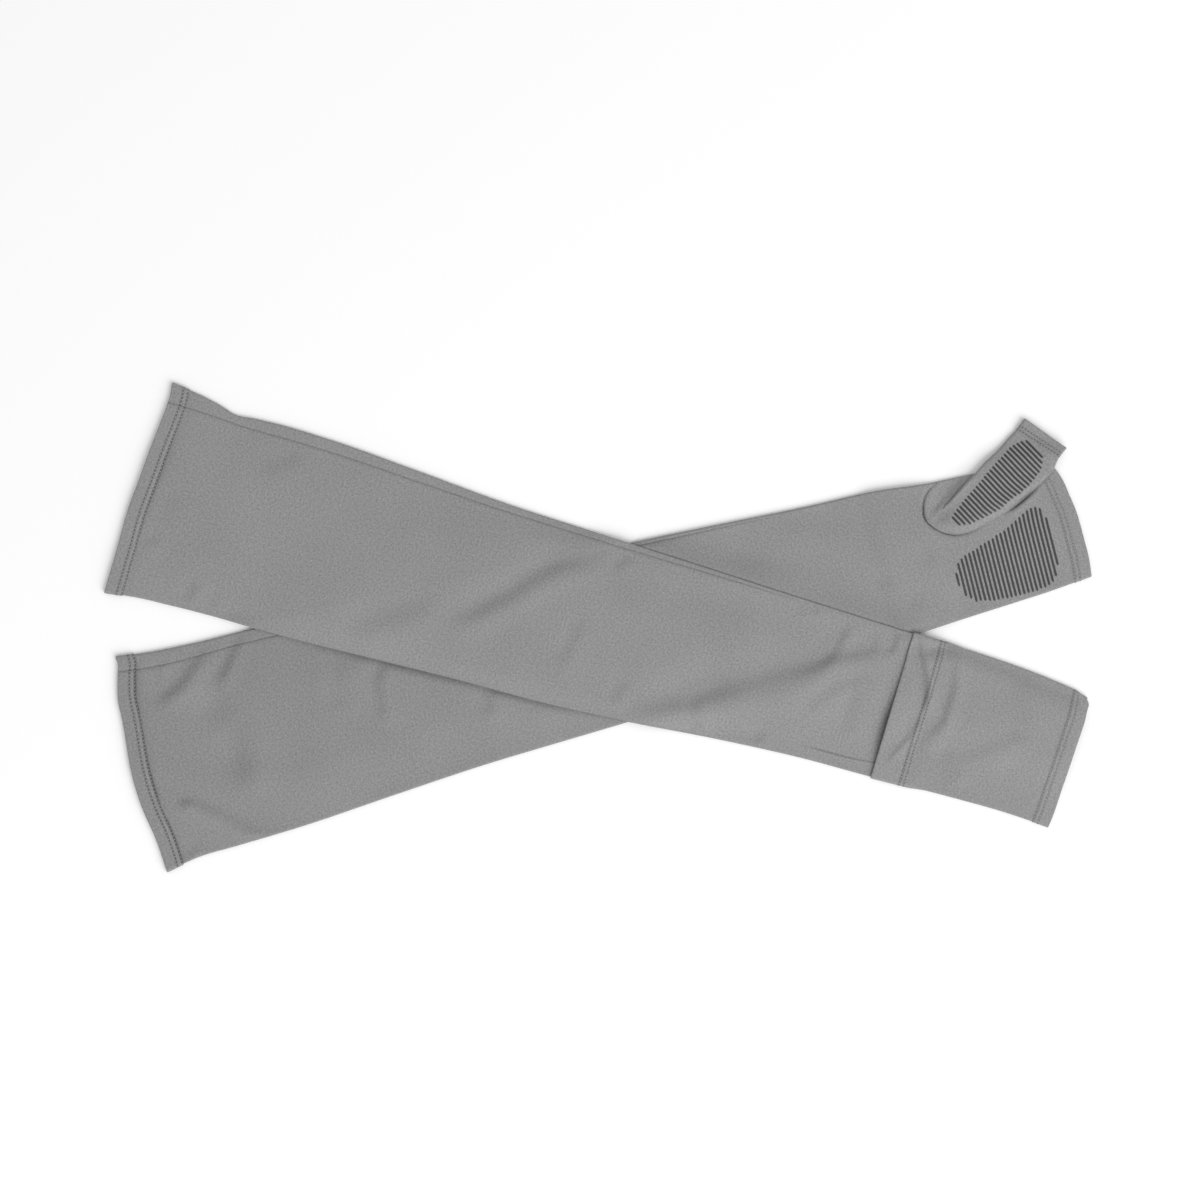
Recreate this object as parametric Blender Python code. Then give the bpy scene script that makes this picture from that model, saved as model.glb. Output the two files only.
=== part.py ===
# A pair of knitted sun sleeves with half gloves, laid flat and crossed.
# The right sleeve lies on top with the back of the hand up; the left one lies beneath, palm up.
# Metres, +Z up, the surface they lie on at z = 0, the origin under the middle of the pair.
#
# Each sleeve has a plan of its own: "along" runs from the upper arm to the knuckles and
# "across" runs from the little finger side (minus) to the thumb side (plus). Tables are in mm.

import math

import bmesh
import bpy
import numpy as np

MM = 0.001

# Driving dimensions, in metres.
LENGTH = 0.600            # upper arm hem to knuckle hem
WALL = 0.0010             # one layer of jersey
HEM_EXTRA = 0.0004        # what a turned hem adds to a layer
HEM_DEPTH = 0.0110        # turned hems at the upper arm, the knuckles and the thumb
HEM_STEP = 0.0008         # length over which a hem's extra thickness ends
LAYER_GAP = 0.0005        # air inside the flat tube
CLEAR = 0.0003            # between one piece and the next
FOLD_REACH = 0.00125      # how far a side fold rounds outwards, and how far at least inside
FOLD_REACH_INSIDE = 0.0002
SLIT_AT = 0.485           # where the back-of-hand piece starts
BACK_END = 0.505          # where its deep wrist hem and, under it, the arm's back layer end
RIDE_UP = 0.012           # length over which one layer climbs onto another
CLIMB_TO = SLIT_AT - 0.003
CLIMB_FROM = CLIMB_TO - RIDE_UP
FALL_FROM = BACK_END + 0.002
FALL_TO = FALL_FROM + RIDE_UP

# How the upper sleeve lies over the lower one, and the right palm over its folded thumb: it
# stays level this far past what is under it, and comes down to the surface over this length.
DRAPE_MARGIN = 0.012
DRAPE_FALL = 0.024
THUMB_MARGIN = 0.009
THUMB_FALL = 0.026
WRIST_LEAD = 0.005        # the upper sleeve has risen this far before the lower one's wrist
WRIST_RISE = 0.020

WIDE_END_FADE = 0.110     # the slant and bow of each end edge fade away over these lengths
HAND_END_FADE = 0.055
SURFACE_FOLD_FADE = 0.018 # a surface fold fades over this length near a hem or the slit
SURFACE_FOLD_EDGE = 0.010 # and over this one near a side fold

# The way from a thumb's hollow into the hand starts this far up the thumb's base, leaves this
# share of its width on each side, and is cut this far above the gusset.
OPENING_START = 0.002
OPENING_SIDE = 0.2
OPENING_ABOVE = 0.00035

ACROSS_COLUMNS = 12       # points across each layer of the arm
FOLD_ANGLES = (45, 90, 135)
THUMB_COLUMNS = 6
HAND_STEP = 0.0125        # between rings of the hand
CUTTER_LOW, CUTTER_HIGH = -0.01, 0.03
SAME = 1e-6

FLAT_LAYERS = 2 * WALL + LAYER_GAP
HAND_BACK_STEP = WALL + HEM_EXTRA + CLEAR

# Outline as laid, in mm from the sleeve's own line: (along, thumb_edge, outer_edge).
RIGHT_OUTLINE = (
    (0, 70.0, 67.5), (24, 66.0, 64.5), (45, 62.2, 63.3), (66, 63.6, 62.7),
    (105, 63.4, 62.4), (160, 60.3, 60.2), (220, 56.4, 57.6), (280, 54.9, 56.0),
    (330, 53.8, 52.5), (390, 52.3, 46.9), (440, 51.3, 43.6), (485, 50.7, 42.6),
    (535, 50.1, 40.7), (575, 47.4, 40.3), (600, 43.2, 41.9),
)
LEFT_OUTLINE = (
    (0, 69.5, 68.0), (20, 67.2, 64.3), (45, 65.7, 63.5), (85, 65.0, 62.1),
    (145, 63.4, 57.8), (205, 61.2, 53.8), (260, 59.4, 51.9), (320, 57.5, 50.0),
    (385, 54.1, 47.6), (440, 51.0, 45.4), (485, 49.4, 43.5), (518, 45.7, 41.5),
    (547, 44.5, 40.0), (575, 42.6, 38.4), (600, 38.5, 36.0),
)

# Largest folds of the layer that shows, in mm:
# (along_start, across_start, along_end, across_end, height, half_width).
RIGHT_FOLDS = (
    (112, -42, 205, -4, 1.3, 11),      # roll beside the lower sleeve's edge
    (105, -50, 300, -41, 0.9, 8),      # long roll above the outer fold
    (345, -22, 428, 44, 1.5, 9),       # ridge where it comes off the lower sleeve
    (440, 42, 462, -22, 0.8, 7),
    (70, 33, 98, 52, 0.8, 8),
    (18, -22, 60, -52, 0.8, 9),
)
LEFT_FOLDS = (
    (22, 24, 44, 58, 1.3, 8),
    (48, 34, 64, -26, 1.5, 9),
    (18, -20, 56, -58, 1.2, 9),
    (150, -16, 161, 24, 1.1, 9),
    (214, -34, 246, -14, 0.8, 9),
)

# The U-shaped seam that sets the thumb into the palm, in mm: (along, across).
THUMB_SEAM = (
    (526, 60), (521, 46), (512.5, 38), (509, 28), (512.5, 18.5), (521, 11.8),
    (533, 9.7), (548, 12.6), (564, 17.6), (578, 23.8), (588, 29.4), (598, 36.5), (612, 47),
)

# Thumb sections from its base to its tip, in mm. Each is a line from the folded edge to the
# edge by the seam, with its underside and its two upper edges measured out from the palm:
# (fold_along, fold_across, seam_along, seam_across, under, fold_over, seam_over, layer).
LEFT_THUMB = (
    (514, 29, 515, 21, -0.85, -0.15, -0.15, 0.30),
    (520, 30, 520, 15.5, -0.60, 1.60, 1.50, 1.00),
    (530, 34.2, 534, 11.8, -0.60, 2.60, 2.00, 1.00),
    (541, 41.2, 549, 14.8, -0.60, 3.00, 2.30, 1.00),
    (551, 47.6, 563, 19.2, 0.30, 3.20, 2.80, 1.00),
    (562, 54.6, 577, 25.0, 0.35, 3.20, 2.85, 1.00),
    (571, 60.4, 589, 31.8, 0.40, 3.20, 2.90, 1.00),
    (577, 64.4, 597, 38.2, 0.40, 3.10, 2.90, 1.00),
    (577.8, 65.0, 597.8, 39.0, 0.40, 3.90, 3.70, 1.40),
    (584.7, 69.5, 605.3, 44.8, 0.40, 3.80, 3.60, 1.40),
)
RIGHT_THUMB = (
    (514, 29, 515, 21, -0.85, -0.15, -0.15, 0.30),
    (521, 31, 521, 15.0, -0.60, 1.60, 1.60, 1.00),
    (532, 33.0, 533, 12.5, -0.60, 2.10, 2.10, 1.00),
    (543, 34.0, 543, 9.0, 0.30, 2.80, 2.80, 1.00),
    (554, 34.2, 553, 5.0, 0.30, 2.80, 2.80, 1.00),
    (566, 33.4, 563, 1.4, 0.30, 2.80, 2.80, 1.00),
    (577, 32.0, 572, -0.4, 0.30, 2.80, 2.80, 1.00),
    (585, 30.6, 580, -1.6, 0.30, 2.80, 2.80, 1.00),
)

# start and turn place a sleeve's line on the surface, in metres and degrees. base_rows counts
# the thumb's sections that stand on the gusset. wide_end and hand_end are (offset, slant, bow)
# of the two end edges, in mm, and arm_step is the length between rings of the arm.
SLEEVES = {
    "left": dict(
        start=(-0.2824, -0.0856), turn=14.69, palm_up=True, outline=LEFT_OUTLINE,
        folds=LEFT_FOLDS, thumb=LEFT_THUMB, base_rows=4,
        wide_end=(-1.2, 1.4, -6.3), hand_end=(-2.5, -3.2, 5.6), arm_step=0.018,
    ),
    "right": dict(
        start=(-0.2824, 0.0850), turn=-16.44, palm_up=False, outline=RIGHT_OUTLINE,
        folds=RIGHT_FOLDS, thumb=RIGHT_THUMB, base_rows=3,
        wide_end=(-4.1, 1.8, -1.9), hand_end=(1.6, 0.4, -2.0), arm_step=0.0125,
    ),
}

JERSEY_GREY = (0.279, 0.279, 0.279, 1.0)
PALM_GREY = (0.262, 0.262, 0.262, 1.0)


def clear_scene():
    for old in list(bpy.data.objects):
        bpy.data.objects.remove(old, do_unlink=True)


def jersey(name, colour):
    material = bpy.data.materials.new(name)
    material.use_nodes = True
    shader = material.node_tree.nodes["Principled BSDF"]
    shader.inputs["Base Color"].default_value = colour
    shader.inputs["Roughness"].default_value = 0.85
    shader.inputs["Metallic"].default_value = 0.0
    return material


def smooth_step(low, high, at):
    t = min(max((at - low) / (high - low), 0.0), 1.0)
    return t * t * (3 - 2 * t)


def through(rows, at):
    """Smooth values through rows whose first column is where each one holds."""
    places = [row[0] for row in rows]
    at = min(max(at, places[0]), places[-1])
    k = min(max(int(np.searchsorted(places, at)) - 1, 0), len(rows) - 2)
    low, high = rows[k], rows[k + 1]
    before, after = rows[max(k - 1, 0)], rows[min(k + 2, len(rows) - 1)]
    span = high[0] - low[0]
    t = (at - low[0]) / span
    values = []
    for c in range(1, len(low)):
        slope_low = (high[c] - before[c]) / (high[0] - before[0]) * span
        slope_high = (after[c] - low[c]) / (after[0] - low[0]) * span
        values.append(
            (2 * t**3 - 3 * t**2 + 1) * low[c] + (t**3 - 2 * t**2 + t) * slope_low
            + (3 * t**2 - 2 * t**3) * high[c] + (t**3 - t**2) * slope_high
        )
    return values


def edges(sleeve, along):
    """Distances in metres from the sleeve's line to its thumb edge and its outer edge."""
    thumb_edge, outer_edge = through(sleeve["outline"], along / MM)
    return thumb_edge * MM, outer_edge * MM


def plan(sleeve, along, across):
    """Where a point of the sleeve's plan lies on the surface."""
    turn = math.radians(sleeve["turn"])
    x = sleeve["start"][0] + along * math.cos(turn) - across * math.sin(turn)
    y = sleeve["start"][1] + along * math.sin(turn) + across * math.cos(turn)
    return x, y


def unplan(sleeve, x, y):
    turn = math.radians(sleeve["turn"])
    x, y = x - sleeve["start"][0], y - sleeve["start"][1]
    return x * math.cos(turn) + y * math.sin(turn), y * math.cos(turn) - x * math.sin(turn)


def outside_of(sleeve, x, y):
    """How far a place on the surface lies outside a sleeve's outline, less than 0 within it."""
    along, across = unplan(sleeve, x, y)
    thumb_edge, outer_edge = edges(sleeve, along)
    return max(across - thumb_edge, -across - outer_edge, -along, along - LENGTH)


def end_shift(sleeve, along, across):
    """The end edges are slanted and bowed, and this fades away from them."""
    thumb_edge, outer_edge = edges(sleeve, along)
    side = 2 * (across + outer_edge) / (thumb_edge + outer_edge) - 1
    side = min(max(side, -1.0), 1.0)
    shift = 0.0
    for end, share in (("wide_end", 1 - smooth_step(0.0, WIDE_END_FADE, along)),
                       ("hand_end", smooth_step(LENGTH - HAND_END_FADE, LENGTH, along))):
        offset, slant, bow = sleeve[end]
        shift += share * (offset + slant * side + bow * (1 - side**2))
    return shift * MM


def fold_height(sleeve, along, across):
    """Height that the largest folds add at a point of the layer that shows."""
    total = 0.0
    for along_start, across_start, along_end, across_end, height, half_width in sleeve["folds"]:
        run = np.array([along_end - along_start, across_end - across_start])
        spot = np.array([along / MM - along_start, across / MM - across_start])
        t = float(spot @ run) / float(run @ run)
        beside = float(np.linalg.norm(spot - run * min(max(t, 0.0), 1.0)))
        total += height * math.exp(-((beside / half_width) ** 2))
    thumb_edge, outer_edge = edges(sleeve, along)
    from_edge = min(thumb_edge - across, across + outer_edge)
    share = smooth_step(HEM_DEPTH, HEM_DEPTH + SURFACE_FOLD_FADE, along)
    share *= 1 - smooth_step(CLIMB_TO - SURFACE_FOLD_FADE, CLIMB_TO, along)
    share *= smooth_step(0.0, SURFACE_FOLD_EDGE, from_edge)
    if sleeve["palm_up"]:
        beside_other = outside_of(SLEEVES["right"], *plan(sleeve, along, across))
        share *= smooth_step(DRAPE_MARGIN, DRAPE_MARGIN + SURFACE_FOLD_FADE, beside_other)
    return total * MM * share


def hem_extra(along):
    inside = along < HEM_DEPTH + SAME or along > LENGTH - HEM_DEPTH - SAME
    return HEM_EXTRA if inside else 0.0


def left_height(along):
    """How high the lower sleeve's flat layers reach, with room where the wrist has three."""
    risen = CLIMB_FROM - WRIST_LEAD
    wrist = smooth_step(risen - WRIST_RISE, risen, along)
    past = smooth_step(FALL_TO, FALL_TO + WRIST_RISE, along)
    return FLAT_LAYERS + HAND_BACK_STEP * (wrist - past)


def drape(x, y):
    """Height of the upper sleeve's underside where it crosses the lower one."""
    left = SLEEVES["left"]
    outside = outside_of(left, x, y)
    lift = left_height(unplan(left, x, y)[0]) + CLEAR
    return lift * (1 - smooth_step(DRAPE_MARGIN, DRAPE_MARGIN + DRAPE_FALL, outside))


def over_own_thumb(along, across):
    """Height of the right palm above the thumb that is folded under it."""
    near = min(
        math.hypot(along - (fold_a + (seam_a - fold_a) * part) * MM,
                   across - (fold_c + (seam_c - fold_c) * part) * MM)
        for fold_a, fold_c, seam_a, seam_c, *_ in RIGHT_THUMB
        for part in (0.0, 0.25, 0.5, 0.75, 1.0)
    )
    lift = FLAT_LAYERS + CLEAR
    return lift * (1 - smooth_step(THUMB_MARGIN, THUMB_MARGIN + THUMB_FALL, near))


def underside(sleeve, layer, along, across):
    """Height of the underside of the palm, arm_back or hand_back layer at a point."""
    thick = WALL + hem_extra(along)
    past = smooth_step(FALL_FROM, FALL_TO, along)
    if sleeve["palm_up"]:
        on_hand_back = HAND_BACK_STEP * (smooth_step(CLIMB_FROM, CLIMB_TO, along) - past)
        if layer == "hand_back":
            return 0.0
        if layer == "arm_back":
            return on_hand_back
        return on_hand_back + thick + LAYER_GAP + fold_height(sleeve, along, across)
    x, y = plan(sleeve, along + end_shift(sleeve, along, across), across)
    base = math.hypot(drape(x, y), over_own_thumb(along, across))
    if layer == "palm":
        return base
    top = base + thick + LAYER_GAP + fold_height(sleeve, along, across)
    if layer == "arm_back":
        return top
    return top + (WALL + CLEAR) * (1 - past)


def place(sleeve, along, across, height):
    x, y = plan(sleeve, along + end_shift(sleeve, along, across), across)
    return x, y, height


def layer_columns(sleeve, along, inset):
    thumb_edge, outer_edge = edges(sleeve, along)
    return np.linspace(thumb_edge - inset, inset - outer_edge, ACROSS_COLUMNS)


def side_fold(sleeve, along, side, low, high, thick):
    """Points round a side fold, from its upper tangent down to its lower one: outer and inner."""
    edge = side - math.copysign(FOLD_REACH, side)
    middle, rise = (low + high) / 2, (high - low) / 2
    outer, inner = [], []
    for angle in FOLD_ANGLES:
        out = math.sin(math.radians(angle))
        up = math.cos(math.radians(angle))
        reach = math.copysign(out, side)
        outer.append(place(sleeve, along, edge + reach * FOLD_REACH, middle + up * rise))
        reach_in = reach * max(FOLD_REACH - thick, FOLD_REACH_INSIDE)
        inner.append(place(sleeve, along, edge + reach_in, middle + up * (rise - thick)))
    return outer, inner


def arm_ring(sleeve, along):
    """One ring of the tube: the palm side from thumb to little finger, then back again."""
    thick = WALL + hem_extra(along)
    thumb_edge, outer_edge = edges(sleeve, along)
    columns = layer_columns(sleeve, along, FOLD_REACH)
    heights = {}
    for layer in ("palm", "arm_back"):
        heights[layer] = [underside(sleeve, layer, along, across) for across in columns]
    palm_up = sleeve["palm_up"]
    upper, lower = ("palm", "arm_back") if palm_up else ("arm_back", "palm")
    skins = {}
    for layer in ("palm", "arm_back"):
        faces_up = layer == upper
        under = [place(sleeve, along, a, h) for a, h in zip(columns, heights[layer])]
        over = [place(sleeve, along, a, h + thick) for a, h in zip(columns, heights[layer])]
        skins[layer] = (over, under) if faces_up else (under, over)
    folds = {}
    for side, column in ((thumb_edge, 0), (-outer_edge, -1)):
        low, high = heights[lower][column], heights[upper][column] + thick
        folds[column] = side_fold(sleeve, along, side, low, high, thick)
    ring = []
    for skin in (0, 1):
        outer_fold = folds[-1][skin] if palm_up else folds[-1][skin][::-1]
        thumb_fold = folds[0][skin][::-1] if palm_up else folds[0][skin]
        ring.append(skins["palm"][skin] + outer_fold + skins["arm_back"][skin][::-1] + thumb_fold)
    return ring


def two_triangles(bm, corners, flip):
    a, b, c, d = corners
    for face in ((a, b, c), (a, c, d)):
        bm.faces.new(face[::-1] if flip else face)


def cloth_wall(name, outer, inner, ring, keep, flip, turned):
    """Cloth between an outer and an inner grid of points, with a rim wherever it ends.

    keep(i, j) says whether a cell is cloth, and turned(j) picks its other diagonal, so that
    the two layers of a flat tube crease along the same lines.
    """
    rows, columns = len(outer), len(outer[0])
    bm = bmesh.new()
    skins = [[[bm.verts.new(point) for point in row] for row in skin] for skin in (outer, inner)]
    last = columns if ring else columns - 1
    cells = [(i, j) for i in range(rows - 1) for j in range(last) if keep(i, j)]
    for i, j in cells:
        k = (j + 1) % columns
        corners = [(i, j), (i, k), (i + 1, k), (i + 1, j)]
        before = (j - 1) % columns if ring else j - 1
        after = k if ring else j + 1
        neighbours = [(i - 1, j), (i, after), (i + 1, j), (i, before)]
        split = corners[1:] + corners[:1] if turned(j) else corners
        for skin, turn_round in ((0, flip), (1, not flip)):
            two_triangles(bm, [skins[skin][r][c] for r, c in split], turn_round)
        for side, neighbour in enumerate(neighbours):
            if neighbour in cells:
                continue
            (r0, c0), (r1, c1) = corners[side], corners[(side + 1) % 4]
            rim = (skins[0][r1][c1], skins[0][r0][c0], skins[1][r0][c0], skins[1][r1][c1])
            two_triangles(bm, rim, flip)
    bmesh.ops.delete(bm, geom=[v for v in bm.verts if not v.link_faces], context="VERTS")
    mesh = bpy.data.meshes.new(name)
    bm.to_mesh(mesh)
    bm.free()
    return mesh


def add_object(name, mesh, material=None):
    obj = bpy.data.objects.new(name, mesh)
    bpy.context.scene.collection.objects.link(obj)
    if material:
        mesh.materials.append(material)
        mesh.shade_smooth()
        mesh.set_sharp_from_angle(angle=math.radians(40))
    else:
        obj.hide_render = True
        obj.display_type = "WIRE"
    return obj


def boolean(obj, operation, other):
    modifier = obj.modifiers.new(operation.title() + " " + other.name, "BOOLEAN")
    modifier.operation = operation
    modifier.object = other
    modifier.solver = "EXACT"


def arm_stations(sleeve):
    """Where the rings lie: both hems, even steps between, and closer ones round the wrist slit."""
    wrist = [CLIMB_FROM, (CLIMB_FROM + CLIMB_TO) / 2, CLIMB_TO, SLIT_AT, (SLIT_AT + BACK_END) / 2]
    wrist += [BACK_END, BACK_END + HEM_STEP, (BACK_END + FALL_TO) / 2, FALL_TO]
    near_hem = [0.0, HEM_DEPTH, HEM_DEPTH + HEM_STEP]
    far_hem = [LENGTH - HEM_DEPTH - HEM_STEP, LENGTH - HEM_DEPTH, LENGTH]
    arm_steps = round((wrist[0] - near_hem[-1]) / sleeve["arm_step"])
    hand_steps = round((far_hem[0] - wrist[-1]) / HAND_STEP)
    arm = list(np.linspace(near_hem[-1], wrist[0], arm_steps + 1))[1:-1]
    hand = list(np.linspace(wrist[-1], far_hem[0], hand_steps + 1))[1:-1]
    return near_hem + arm + wrist + hand + far_hem


def arm_panel_mesh(name, sleeve):
    """The tube of the arm, which past the wrist goes on as the palm with its side folds only."""
    stations = arm_stations(sleeve)
    rings = [arm_ring(sleeve, along) for along in stations]
    first_back = ACROSS_COLUMNS + len(FOLD_ANGLES)
    last_back = first_back + ACROSS_COLUMNS - 1

    def keep(i, j):
        return stations[i] < BACK_END - SAME or not first_back <= j < last_back

    def turned(j):
        return first_back <= j < last_back

    outer, inner = [ring[0] for ring in rings], [ring[1] for ring in rings]
    return cloth_wall(name, outer, inner, True, keep, not sleeve["palm_up"], turned)


def hand_back_mesh(name, sleeve):
    """The back-of-hand piece, from its deep wrist hem to the knuckle hem."""
    stations = [along for along in arm_stations(sleeve) if along > SLIT_AT - SAME]
    outer, inner = [], []
    for along in stations:
        wrist_hem = HEM_EXTRA if along < BACK_END + SAME else 0.0
        thick = WALL + max(wrist_hem, hem_extra(along))
        columns = layer_columns(sleeve, along, FOLD_REACH + CLEAR)
        unders = [underside(sleeve, "hand_back", along, across) for across in columns]
        low = [place(sleeve, along, a, h) for a, h in zip(columns, unders)]
        high = [place(sleeve, along, a, h + thick) for a, h in zip(columns, unders)]
        outer.append(low if sleeve["palm_up"] else high)
        inner.append(high if sleeve["palm_up"] else low)

    def keep(i, j):
        return True

    def turned(j):
        return False

    return cloth_wall(name, outer, inner, False, keep, sleeve["palm_up"], turned)


def thumb_point(sleeve, along, across, out):
    """A point this far out from the face of the palm that the thumb lies on."""
    thumb_edge, _ = edges(sleeve, along)
    inside = min(across, thumb_edge - FOLD_REACH), min(along, LENGTH)
    palm = underside(sleeve, "palm", inside[1], inside[0])
    x, y = plan(sleeve, along, across)
    if not sleeve["palm_up"]:
        return x, y, palm - out
    face = palm + WALL + hem_extra(inside[1])
    outside = max(across - thumb_edge, along - LENGTH)
    held = 1 - smooth_step(THUMB_MARGIN, THUMB_MARGIN + THUMB_FALL / 2, outside)
    return x, y, face * held + out


def thumb_ring(sleeve, row):
    """One ring of the flat thumb: over from fold to seam, round, and back under."""
    fold = np.array(row[0:2]) * MM
    seam = np.array(row[2:4]) * MM
    under, fold_over, seam_over, layer = (value * MM for value in row[4:8])
    width = float(np.linalg.norm(seam - fold))
    run = (seam - fold) / width
    rings = []
    for inset in (0.0, layer):
        reach = max(FOLD_REACH - inset, FOLD_REACH_INSIDE)

        def at(distance, out):
            along, across = fold + run * distance
            return thumb_point(sleeve, along, across, out)

        def side(distance, over, towards):
            middle, rise = (over - inset + under + inset) / 2, (over - under) / 2 - inset
            return [
                at(distance + towards * reach * math.sin(math.radians(angle)),
                   middle + rise * math.cos(math.radians(angle)))
                for angle in FOLD_ANGLES
            ]

        parts = np.linspace(0.0, 1.0, THUMB_COLUMNS)
        spots = FOLD_REACH + parts * (width - 2 * FOLD_REACH)
        over = [at(d, fold_over + (seam_over - fold_over) * p - inset) for d, p in zip(spots, parts)]
        back = [at(d, under + inset) for d in spots]
        seam_side = side(width - FOLD_REACH, seam_over, 1)
        fold_side = side(FOLD_REACH, fold_over, -1)
        rings.append(over + seam_side + back[::-1] + fold_side[::-1])
    return rings


def thumb_mesh(name, sleeve):
    """The thumb tube. Its first sections are an arch that stands on the gusset, open to the palm."""
    rings = [thumb_ring(sleeve, row) for row in sleeve["thumb"]]
    first_back = THUMB_COLUMNS + len(FOLD_ANGLES)
    last_back = first_back + THUMB_COLUMNS - 1

    def keep(i, j):
        return i >= sleeve["base_rows"] - 1 or not first_back <= j < last_back

    def turned(j):
        return first_back <= j < last_back

    outer, inner = [ring[0] for ring in rings], [ring[1] for ring in rings]
    return cloth_wall(name, outer, inner, True, keep, not sleeve["palm_up"], turned)


def prism(name, outline, low=CUTTER_LOW, high=CUTTER_HIGH):
    """An upright solid over a closed outline of plan points, for cutting."""
    bm = bmesh.new()
    face = bm.faces.new([bm.verts.new((x, y, low)) for x, y in outline])
    lifted = bmesh.ops.extrude_face_region(bm, geom=[face])
    top = [v for v in lifted["geom"] if isinstance(v, bmesh.types.BMVert)]
    bmesh.ops.translate(bm, verts=top, vec=(0.0, 0.0, high - low))
    bmesh.ops.recalc_face_normals(bm, faces=bm.faces)
    mesh = bpy.data.meshes.new(name)
    bm.to_mesh(mesh)
    bm.free()
    return add_object(name, mesh)


def thumb_seam_outline(sleeve, grow):
    """Plan of all that the thumb seam encloses, grown or shrunk by half the seam's gap."""
    rows = [(k, *spot) for k, spot in enumerate(THUMB_SEAM)]
    parts = np.linspace(0, len(rows) - 1, 3 * (len(rows) - 1) + 1)
    line = np.array([through(rows, part) for part in parts]) * MM
    runs = np.gradient(line, axis=0)
    normals = np.stack([runs[:, 1], -runs[:, 0]], axis=1)
    normals /= np.linalg.norm(normals, axis=1)[:, None]
    # The line runs round with the thumb on its left, so this normal points away from the thumb.
    line += normals * grow
    return [plan(sleeve, along, across) for along, across in line]


def thumb_opening(name, sleeve):
    """Cuts the way from the hollow of the thumb into the hand, under the thumb's base."""
    corners = []
    for row, start, parts in ((1, OPENING_START, (OPENING_SIDE, 1 - OPENING_SIDE)),
                              (2, 0.0, (1 - OPENING_SIDE, OPENING_SIDE))):
        fold, seam = np.array(sleeve["thumb"][row][:4]).reshape(2, 2) * MM
        corners += [fold + (seam - fold) * part + (start, 0.0) for part in parts]
    outline = [plan(sleeve, along, across) for along, across in corners]
    out = 1 if sleeve["palm_up"] else -1
    face = thumb_point(sleeve, *np.mean(corners, axis=0), 0.0)[2]
    low, high = sorted((face - out * (WALL + CLEAR), face + out * OPENING_ABOVE))
    return prism(name, outline, low, high)


def build_sleeve(side, cloth, palm_cloth):
    sleeve = SLEEVES[side]
    tube = arm_panel_mesh(side + "_tube", sleeve)
    outside = prism(side + "_seam_outside", thumb_seam_outline(sleeve, CLEAR / 2))
    inside = prism(side + "_seam_inside", thumb_seam_outline(sleeve, -CLEAR / 2))
    gusset = add_object(side + "_gusset_form", tube.copy())
    boolean(gusset, "INTERSECT", inside)
    panel = add_object(side + "_arm_panel", tube, cloth)
    boolean(panel, "DIFFERENCE", outside)
    thumb = add_object(side + "_thumb", thumb_mesh(side + "_thumb", sleeve), palm_cloth)
    boolean(thumb, "UNION", gusset)
    boolean(thumb, "DIFFERENCE", thumb_opening(side + "_opening", sleeve))
    add_object(side + "_hand_back", hand_back_mesh(side + "_hand_back", sleeve), cloth)


clear_scene()
arm_cloth = jersey("knitted polyester jersey", JERSEY_GREY)
thumb_cloth = jersey("knitted polyester jersey, thumb", PALM_GREY)
for side in SLEEVES:
    build_sleeve(side, arm_cloth, thumb_cloth)
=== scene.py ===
# A pair of knitted sun sleeves with half gloves, laid flat and crossed on a white table.
# The right sleeve lies on top, back of the hand up. The left one lies beneath, palm up.
import math

import bpy
import numpy as np
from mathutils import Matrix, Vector
from mathutils.bvhtree import BVHTree
from mathutils.geometry import delaunay_2d_cdt


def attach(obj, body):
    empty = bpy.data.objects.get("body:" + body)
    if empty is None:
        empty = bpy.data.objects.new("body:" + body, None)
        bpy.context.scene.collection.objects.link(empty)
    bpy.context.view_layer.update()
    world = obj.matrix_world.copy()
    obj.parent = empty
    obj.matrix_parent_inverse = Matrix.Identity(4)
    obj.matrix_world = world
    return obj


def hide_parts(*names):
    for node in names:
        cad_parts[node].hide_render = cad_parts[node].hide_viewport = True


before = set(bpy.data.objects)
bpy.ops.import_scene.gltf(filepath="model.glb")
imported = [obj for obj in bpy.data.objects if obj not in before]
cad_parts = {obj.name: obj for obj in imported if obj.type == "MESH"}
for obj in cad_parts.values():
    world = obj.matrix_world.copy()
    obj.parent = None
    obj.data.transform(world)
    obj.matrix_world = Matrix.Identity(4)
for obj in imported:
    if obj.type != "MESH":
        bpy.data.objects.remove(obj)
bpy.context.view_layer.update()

# Sleeve sizes are in millimetres. "along" runs from the upper arm to the knuckles and "across"
# from the little finger side (minus) to the thumb side (plus), both from the sleeve's own line.
cloth = {
    "length": 600.0,
    "thickness": 0.8,       # one layer of jersey
    "airInside": 0.6,       # between the two layers along the side folds
    "leastAir": 0.12,
    "puffRise": (44.0, 36.0),  # how far in from the thumb-side and outer folds the puff is full
    "foldReach": 1.2,       # how far a side fold rounds outwards
    "hemExtra": 0.4,        # what a turned hem adds to a layer
    "handHemExtra": 0.2,    # and at the fingers, where it lies flatter
    "hemSpread": 0.5,       # and to the tube's outline, on each side
    "handHemStep": 2.0,     # and thins out over this much more
    "hemDepth": 10.4,
    "hemRows": (7.0, 10.2),  # the two rows of stitches, from the hem's folded edge
    "clear": 0.2,           # between layers that lie on each other
    "creaseDepth": 1.75,    # multiplies every crease below
    # how far from a side fold, or from a hem, creases and waves reach their height
    "creaseFromFold": 4.0, "creaseFromHem": 7.0, "wavesFromFold": (0.5, 7.0),
    "handRowShade": 0.65,   # of the needle rows at the fingers, as a share of those at the wide end
    "wideEdgeFelt": 110.0,  # how far in the uneven wide end is felt, the finger end and its corners
    "handEdgeFelt": 55.0, "cornerFelt": 12.0,
}
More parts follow.
